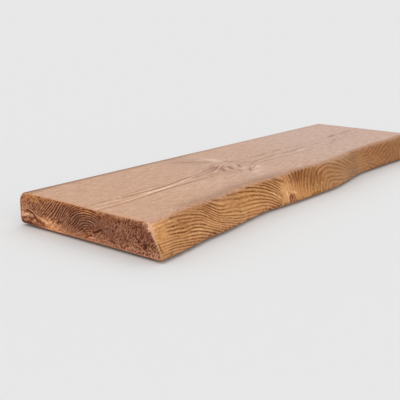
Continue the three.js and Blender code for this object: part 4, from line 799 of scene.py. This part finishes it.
def rim_look(skin, depth, height, share, left):
    """The look of one row of the eased rim. Share is 0 on the end and 1 where
    the easing starts: there the skin keeps its own look."""
    outer, _ = end_look(depth, height, left)
    own = smooth((share - np.interp(depth, *RIM_START)) / RIM_BLEND)[:, None]
    rim = own * skin + (1 - own) * outer
    # Painted highlight along the rim's corner with the natural edge
    pale = smooth((depth - RIM_HIGHLIGHT_FROM) / RIM_HIGHLIGHT_RISE) * np.interp(height, *RIM_HIGHLIGHT_UP)
    pale = pale * smooth((share - np.interp(height, *RIM_HIGHLIGHT_START)) / RIM_HIGHLIGHT_IN)
    pale = pale * (1 - smooth((share - RIM_HIGHLIGHT_END) / RIM_HIGHLIGHT_OUT))
    rim[:, TINT] += pale[:, None] * (linear(RIM_HIGHLIGHT_COLOUR) - rim[:, TINT])
    rim[:, [TONE, RIDGE, LEVEL]] *= 1 - RIM_HIGHLIGHT_CALM * pale[:, None]
    return rim


class Solid:
    """Collects the points, faces and looks of one closed mesh."""

    def __init__(self):
        self.points, self.looks, self.faces, self.count = [], [], [], 0

    def add(self, points, looks):
        """Takes points in and gives their numbers."""
        first = self.count
        self.points.append(points)
        self.looks.append(looks)
        self.count += len(points)
        return np.arange(first, self.count)

    def ring(self, outline, y):
        """A plain row of points, an outline in (x, z) at depth y."""
        tint = np.tile(linear(POCKET_COLOUR), (len(outline), 1))
        points = np.stack([outline[:, 0], np.full(len(outline), y), outline[:, 1]], 1)
        return self.add(points, look(tint, np.zeros((len(outline), 3))))

    def band(self, lower, upper):
        """Quads between two closed rows of point numbers."""
        for k in range(len(lower)):
            m = (k + 1) % len(lower)
            self.faces.append((lower[k], lower[m], upper[m], upper[k]))

    def triangles(self, numbers, flip):
        """Triangles by their point numbers, turned over if flipped."""
        self.faces += [tuple(t[::-1]) if flip else tuple(t) for t in numbers]


def inside(points, loop):
    """Which points lie inside a closed outline."""
    a, b = loop, np.roll(loop, -1, axis=0)
    x, y = points[:, :1], points[:, 1:]
    spans = (a[:, 1] > y) != (b[:, 1] > y)
    slope = (b[:, 0] - a[:, 0]) / np.where(b[:, 1] == a[:, 1], 1, b[:, 1] - a[:, 1])
    return (spans & (x < a[:, 0] + (y - a[:, 1]) * slope)).sum(1) % 2 == 1


def clearance(points, loop):
    """How far points lie from a closed outline."""
    way = np.roll(loop, -1, axis=0) - loop
    offset = points[:, None] - loop
    t = np.clip((offset * way).sum(2) / (way ** 2).sum(1), 0, 1)
    return np.linalg.norm(offset - t[:, :, None] * way, axis=2).min(1)


def peel(triangles, borders):
    """Takes triangles off from outside until only the borders are open."""
    span = triangles.max() + 1
    kept = np.sort(np.array(borders), axis=1) @ (span, 1)
    while True:
        sides = np.sort(triangles[:, [[0, 1], [1, 2], [2, 0]]], axis=2) @ (span, 1)
        _, place, uses = np.unique(sides, return_inverse=True, return_counts=True)
        loose = (uses[place.reshape(sides.shape)] == 1) & ~np.isin(sides, kept)
        if not loose.any():
            return triangles
        triangles = triangles[~loose.any(1)]


def fill(outline, holes=(), extra=np.zeros((0, 2))):
    """Triangles over an outline, with its holes kept open. They count the
    outline's points first, then each hole's, then the extra ones."""
    points = np.concatenate([outline, *holes, extra])
    edges, start = [], 0
    for loop in (outline, *holes):
        edges += [(start + k, start + (k + 1) % len(loop)) for k in range(len(loop))]
        start += len(loop)
    got = delaunay_2d_cdt([Vector(p) for p in points], edges, [], 1, 1e-7, True)
    triangles = np.array([ids[0] for ids in got[3]])[np.array(got[2])]
    for loop in holes:
        triangles = triangles[~inside(points[triangles].mean(1), loop)]
    return peel(triangles, edges)


def stadium(centre, length, height):
    """A flat outline with round ends, as (x, z)."""
    turn = np.linspace(-math.pi / 2, math.pi / 2, STADIUM_STEPS + 1)
    half, radius = (length - height) / 2, height / 2
    right = np.stack([centre + half + radius * np.cos(turn), radius * np.sin(turn)], 1)
    return np.concatenate([right, np.stack([2 * centre - right[:, 0], -right[:, 1]], 1)])


def circle(centre, radius):
    """A round outline, as (x, z)."""
    turn = np.arange(CIRCLE_STEPS) * 2 * math.pi / CIRCLE_STEPS
    return np.stack([centre + radius * np.cos(turn), radius * np.sin(turn)], 1)


def dress(points, cuts):
    """The look of each point of the plank's outer skin."""
    skin = np.zeros(points.shape[:2] + (LOOK_COLUMNS,))
    s, depth, height = points[:, :, 0] + LENGTH / 2, -points[:, :, 1], points[:, :, 2] - FOOT
    top, edge, underside = slice(0, cuts[2]), slice(cuts[2], cuts[3]), slice(cuts[3], cuts[5])
    for part, paint, across in ((top, top_look, depth), (edge, edge_look, height),
                                (underside, underside_look, depth)):
        skin[:, part] = paint(s[:, part].ravel(), across[:, part].ravel()).reshape(skin[:, part].shape)
    return skin


def cut_grooves(points, skin, front):
    """Sinks the dark lines of the natural edge a little into it."""
    normal = np.cross(np.gradient(points, axis=1), np.gradient(points, axis=0))
    normal /= np.linalg.norm(normal, axis=2, keepdims=True) + 1e-12
    outward = np.sign(normal[len(points) // 2, front.start - 2, 2])
    depth = np.zeros(points.shape[:2])
    depth[:, front] = GROOVE_DEPTH * np.clip(-skin[:, front, TONE], 0, 1)
    depth *= np.clip((LENGTH / 2 - END_EASE - np.abs(points[:, :, 0])) / GROOVE_FADE, 0, 1)
    return points - outward * depth[:, :, None] * normal


def end_grid(loop, pitch):
    """Staggered points inside an end's outline, clear of it."""
    low, high = loop.min(0), loop.max(0)
    rows = np.arange(low[1], high[1], pitch * ROW_PITCH_SHARE)
    y, z = np.meshgrid(np.arange(low[0], high[0], pitch), rows)
    y[1::2] += pitch / 2
    grid = np.stack([y.ravel(), z.ravel()], 1)
    grid = grid[inside(grid, loop)]
    return grid[clearance(grid, loop) > pitch * END_CLEARANCE_SHARE]


def close_end(solid, points, numbers, left):
    """An end face, and the end's own look on the eased rim round it."""
    row = 0 if left else len(points) - 1
    loop = points[row][:, 1:]
    grid = end_grid(loop, NEAR_END_PITCH if left else FAR_END_PITCH)
    looks, crack = end_look(-grid[:, 0], grid[:, 1] - FOOT, left)
    depth = CRACK_DEPTH * crack + PORE_DEPTH * np.clip(-looks[:, TONE], 0, 1)
    inner = solid.add(np.column_stack([points[row, 0, 0] + depth * (1 if left else -1), grid]), looks)
    solid.triangles(np.concatenate([numbers[row], inner])[fill(loop, extra=grid)], left)
    skin = solid.looks[0]
    rim_rows = np.arange(END_ROWS + 1) + (0 if left else len(points) - END_ROWS - 1)
    for r in rim_rows:
        share = np.clip((LENGTH / 2 - abs(points[r, 0, 0])) / END_EASE, 0, 1)
        skin[numbers[r]] = rim_look(skin[numbers[r]], -points[r, :, 1], points[r, :, 2] - FOOT, share, left)


def cut_pocket(solid, at, pocket):
    """One pocket with the bore in its floor. Gives the numbers of its mouth."""
    mouth, floor = solid.ring(pocket, 0.0), solid.ring(pocket, POCKET_FLOOR)
    solid.band(floor, mouth)
    wide = circle(at, MOUTH_RADIUS - (MOUTH_FLOOR - POCKET_FLOOR))
    narrow = circle(at, BORE_RADIUS)
    rows = [solid.ring(wide, POCKET_FLOOR), solid.ring(narrow, MOUTH_FLOOR - MOUTH_RADIUS + BORE_RADIUS),
            solid.ring(narrow, BORE_END)]
    solid.triangles(np.concatenate([floor, rows[0]])[fill(pocket, [wide])], True)
    for outer, inner in zip(rows[:-1], rows[1:]):
        solid.band(inner, outer)
    tip = solid.ring(np.array([[at, 0.0]]), BORE_END - DRILL_POINT)[0]
    solid.faces += [(rows[-1][k], rows[-1][k - 1], tip) for k in range(len(narrow))]
    return mouth


def make_plank():
    """The whole plank, from its sections to the pockets in its back."""
    x, inset = stations()
    shares = cubic(WANEY_EDGE_SHARES[:, 0], WANEY_EDGE_SHARES[:, 1:], (x + LENGTH / 2) / LENGTH)
    parts = [section(row, i) for row, i in zip(shares, inset)]
    cuts = np.cumsum([0] + [len(part) for part in parts[0]])
    outline = np.array([np.concatenate(part) for part in parts])
    points = np.concatenate([np.repeat(x[:, None, None], cuts[5], 1), outline], 2)
    skin = dress(points, cuts)
    points = cut_grooves(points, skin, slice(cuts[2], cuts[3]))
    solid = Solid()
    numbers = solid.add(points.reshape(-1, 3), skin.reshape(-1, LOOK_COLUMNS)).reshape(points.shape[:2])
    corners = (numbers[:-1, :-1], numbers[:-1, 1:], numbers[1:, 1:], numbers[1:, :-1])
    solid.faces += [tuple(quad) for quad in np.stack(corners, 2).reshape(-1, 4)]
    close_end(solid, points, numbers, True)
    close_end(solid, points, numbers, False)
    plain = slice(END_ROWS, len(points) - END_ROWS)
    foot, top = numbers[:, -1], numbers[:, 0]
    solid.faces += [(foot[r], top[r], top[r + 1], foot[r + 1]) for r in range(len(points) - 1)
                    if not plain.start <= r < plain.stop - 1]
    back = np.concatenate([points[plain, -1, ::2], points[plain, 0, ::2][::-1]])
    pockets = [stadium(at, POCKET_LENGTH, POCKET_HEIGHT) for at in SUPPORT_PLACES]
    mouths = [cut_pocket(solid, at, pocket) for at, pocket in zip(SUPPORT_PLACES, pockets)]
    solid.triangles(np.concatenate([foot[plain], top[plain][::-1], *mouths])[fill(back, pockets)], True)
    return solid


def attribute(mesh, name, kind, field, values):
    """Gives each point of a mesh a value that the materials can read."""
    mesh.attributes.new(name, kind, "POINT").data.foreach_set(field, values.ravel())


def place_object(name, data):
    """A new object in the scene."""
    obj = bpy.data.objects.new(name, data)
    bpy.context.scene.collection.objects.link(obj)
    return obj


def mesh_object(name, solid):
    """The solid as a smooth object, with its looks as attributes."""
    mesh = bpy.data.meshes.new(name)
    points, looks = np.concatenate(solid.points) * MM, np.concatenate(solid.looks)
    mesh.from_pydata(points.tolist(), [], [[int(k) for k in face] for face in solid.faces])
    mesh.validate(clean_customdata=False)
    opaque = np.ones((len(looks), 1))
    attribute(mesh, "tint", "FLOAT_COLOR", "color", np.hstack([looks[:, TINT], opaque]))
    attribute(mesh, "grain", "FLOAT_VECTOR", "vector", looks[:, GRAIN])
    for column, label in ((TONE, "tone"), (RING, "ring"), (RIDGE, "ridge"), (LEVEL, "level")):
        attribute(mesh, label, "FLOAT", "value", looks[:, column])
    mesh.shade_smooth()
    mesh.set_sharp_from_angle(angle=math.radians(SHARP_ANGLE))
    return place_object(name, mesh)


class Shade:
    """A short way to build a node material."""

    def __init__(self, name):
        self.material = bpy.data.materials.new(name)
        self.material.use_nodes = True
        self.tree = self.material.node_tree
        self.tree.nodes.clear()

    def add(self, kind, settings, inputs):
        """A node, with its settings, and its inputs as values or as links."""
        node = self.tree.nodes.new(kind)
        for key, value in settings.items():
            setattr(node, key, value)
        for key, value in inputs.items():
            if isinstance(value, bpy.types.NodeSocket):
                self.tree.links.new(value, node.inputs[key])
            else:
                node.inputs[key].default_value = value
        return node

    def attribute(self, name, output="Fac"):
        return self.add("ShaderNodeAttribute", {"attribute_name": name}, {}).outputs[output]

    def place(self):
        return self.add("ShaderNodeTexCoord", {}, {}).outputs["Object"]

    def stretched(self, scale):
        values = {"Vector": self.place(), "Scale": scale}
        return self.add("ShaderNodeMapping", {}, values).outputs[0]

    def noise(self, vector, scale, detail=2.0, roughness=0.5):
        values = {"Vector": vector, "Scale": scale, "Detail": detail, "Roughness": roughness}
        return self.add("ShaderNodeTexNoise", {}, values).outputs["Fac"]

    def spread(self, value, from_low, from_high, to_low, to_high):
        """Values of one span as values of another."""
        values = {"Value": value, "From Min": from_low, "From Max": from_high,
                  "To Min": to_low, "To Max": to_high}
        return self.add("ShaderNodeMapRange", {}, values).outputs["Result"]

    def math(self, operation, *values):
        """One arithmetic node on node values and numbers."""
        return self.add("ShaderNodeMath", {"operation": operation}, dict(enumerate(values))).outputs[0]

    def mix(self, kind, factor, a, b):
        settings = {"data_type": "RGBA", "blend_type": kind}
        return self.add("ShaderNodeMix", settings, {0: factor, 6: a, 7: b}).outputs[2]

    def bump(self, height, strength, distance):
        values = {"Height": height, "Strength": strength, "Distance": distance}
        return self.add("ShaderNodeBump", {}, values).outputs["Normal"]

    def finish(self, values):
        shader = self.add("ShaderNodeBsdfPrincipled", {}, values)
        self.add("ShaderNodeOutputMaterial", {}, {"Surface": shader.outputs["BSDF"]})
        return self.material


def oiled_pine():
    """Pine, with the grain, the rings and the drawn marks of each face."""
    m = Shade("oiled_pine_look")
    place = m.place()
    along = m.noise(m.attribute("grain", "Vector"), scale=1.0, detail=3.0, roughness=0.55)
    fine = m.spread(along, 0.32, 0.68, -1.0, 1.0)
    speck = m.spread(m.noise(place, scale=330.0, detail=3.0, roughness=0.6), 0.32, 0.68, -0.85, 0.85)
    broken = m.spread(m.noise(place, scale=300.0), 0.3, 0.7, 0.6, 1.25)
    # Ring lines dark, wood between light: partly ring colour, partly painted highlight on the grain's ridges
    wave = m.math("COSINE", m.math("MULTIPLY", m.attribute("ring"), 2 * math.pi))
    rings = m.math("MULTIPLY", m.spread(wave, -1.0, 1.0, 0.95, -0.95), m.attribute("ridge"))
    drawn = m.math("MULTIPLY", m.math("ADD", m.attribute("tone"), rings), broken)
    tone = m.math("MULTIPLY_ADD", m.math("ADD", fine, speck), m.attribute("level"), drawn)
    tint = m.attribute("tint", "Color")
    pale = m.mix("MULTIPLY", 1.0, tint, (1.55, 1.95, 2.35, 1))
    deep = m.mix("MULTIPLY", 1.0, tint, (0.28, 0.15, 0.06, 1))
    colour = m.mix("MIX", tone, tint, pale)
    colour = m.mix("MIX", m.math("MULTIPLY", tone, -0.85), colour, deep)
    return m.finish({"Base Color": colour, "Roughness": m.spread(fine, -1.0, 1.0, 0.66, 0.56),
                     "Specular IOR Level": 0.15, "Normal": m.bump(tone, strength=0.2, distance=0.0003)})


def zinc_plate():
    """Dull zinc with the clouds of its plating."""
    m = Shade("zinc_plated_plate_look")
    place = m.place()
    cloud = m.spread(m.noise(place, scale=160.0, detail=4.0, roughness=0.6), 0.35, 0.65, 0.0, 1.0)
    colour = m.mix("MIX", cloud, (0.42, 0.43, 0.45, 1), (0.56, 0.57, 0.58, 1))
    rough = m.spread(cloud, 0.0, 1.0, 0.34, 0.48)
    bump = m.bump(m.noise(place, scale=700.0), strength=0.1, distance=0.0003)
    return m.finish({"Base Color": colour, "Metallic": 1.0, "Roughness": rough, "Normal": bump})


def bright_rod():
    """Bright drawn steel, with fine lines along the rod."""
    m = Shade("bright_steel_rod_look")
    drawn = m.noise(m.stretched((900.0, 40.0, 900.0)), scale=1.0)
    colour = m.mix("MIX", drawn, (0.5, 0.5, 0.51, 1), (0.68, 0.68, 0.68, 1))
    rough = m.spread(drawn, 0.3, 0.7, 0.22, 0.36)
    return m.finish({"Base Color": colour, "Metallic": 1.0, "Roughness": rough})


def yellow_screw():
    """Yellow passivated screw steel."""
    m = Shade("screw_steel_look")
    cloud = m.noise(m.place(), scale=420.0)
    colour = m.mix("MIX", cloud, (0.5, 0.45, 0.3, 1), (0.64, 0.58, 0.42, 1))
    rough = m.spread(cloud, 0.3, 0.7, 0.26, 0.4)
    return m.finish({"Base Color": colour, "Metallic": 1.0, "Roughness": rough})


def grey_nylon():
    """Grey moulded nylon."""
    m = Shade("plug_nylon_look")
    cloud = m.noise(m.place(), scale=300.0)
    colour = m.mix("MIX", cloud, (0.34, 0.35, 0.36, 1), (0.42, 0.43, 0.44, 1))
    return m.finish({"Base Color": colour, "Roughness": 0.5})


def pale_floor():
    """The studio's even pale floor."""
    m = Shade("pale_floor_look")
    return m.finish({"Base Color": (0.81, 0.81, 0.81, 1), "Roughness": 1.0, "Specular IOR Level": 0.0})


board = mesh_object("board_plank", make_plank())
board.data.materials.append(oiled_pine())
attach(board, "board")
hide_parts("shelf_board")

FINISHES = {"wall_plate": zinc_plate(), "rod": bright_rod(), "screw": yellow_screw(), "plug": grey_nylon()}
for name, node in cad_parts.items():
    for word, material in FINISHES.items():
        if word in name:
            node.data.materials.clear()
            node.data.materials.append(material)

# Camera, in metres and degrees
CAMERA_PLACE = (-1.0225, -0.8310, 0.2763)
CAMERA_AZIMUTH, CAMERA_ELEVATION = -50.901, 14.617
CAMERA_LENS, SENSOR_WIDTH = 67.3, 36.0
camera = place_object("camera", bpy.data.cameras.new("camera"))
bpy.context.scene.camera = camera
turn, tilt = math.radians(CAMERA_AZIMUTH), math.radians(CAMERA_ELEVATION)
toward = Vector((-math.sin(turn) * math.cos(tilt), math.cos(turn) * math.cos(tilt), -math.sin(tilt)))
camera.location = CAMERA_PLACE
camera.rotation_mode = "QUATERNION"
camera.rotation_quaternion = toward.to_track_quat("-Z", "Y")
camera.data.sensor_width, camera.data.lens = SENSOR_WIDTH, CAMERA_LENS
camera.data.clip_start, camera.data.clip_end = 0.01, 100.0

# A pale floor just under the plank
FLOOR_DROP, FLOOR_REACH = 0.003, 30.0
FLOOR_HEIGHT = FOOT * MM - FLOOR_DROP
floor_mesh = bpy.data.meshes.new("floor")
floor_corners = [(x * FLOOR_REACH, y * FLOOR_REACH, FLOOR_HEIGHT)
                 for x, y in ((-1, -1), (1, -1), (1, 1), (-1, 1))]
floor_mesh.from_pydata(floor_corners, [], [(0, 1, 2, 3)])
floor_mesh.materials.append(pale_floor())
floor = place_object("floor", floor_mesh)

# Even pale light from all round; the camera sees the backdrop in its own tone
SKY_STRENGTH, BACKDROP = 0.5, 0.806
world = bpy.data.worlds.new("studio")
bpy.context.scene.world = world
world.use_nodes = True
tree = world.node_tree
tree.nodes.clear()
sky = tree.nodes.new("ShaderNodeBackground")
sky.inputs["Color"].default_value = (1.0, 1.0, 1.0, 1)
sky.inputs["Strength"].default_value = SKY_STRENGTH
backdrop = tree.nodes.new("ShaderNodeBackground")
backdrop.inputs["Color"].default_value = (BACKDROP, BACKDROP, BACKDROP, 1)
choice, output = tree.nodes.new("ShaderNodeMixShader"), tree.nodes.new("ShaderNodeOutputWorld")
tree.links.new(tree.nodes.new("ShaderNodeLightPath").outputs["Is Camera Ray"], choice.inputs[0])
tree.links.new(sky.outputs[0], choice.inputs[1])
tree.links.new(backdrop.outputs[0], choice.inputs[2])
tree.links.new(choice.outputs[0], output.inputs["Surface"])

# Soft far lamps: name, direction of their light, strength, width in degrees
LAMPS = (("key", (-0.15, -0.5, -1.0), 1.45, 90), ("side", (0.4, 1.0, -0.3), 0.9, 60))
for label, shine, strength, width in LAMPS:
    lamp = bpy.data.lights.new(label, "SUN")
    lamp.energy, lamp.angle = strength, math.radians(width)
    holder = place_object(label, lamp)
    holder.rotation_mode = "QUATERNION"
    holder.rotation_quaternion = Vector(shine).to_track_quat("-Z", "Y")

bpy.context.scene.view_settings.view_transform = "Standard"
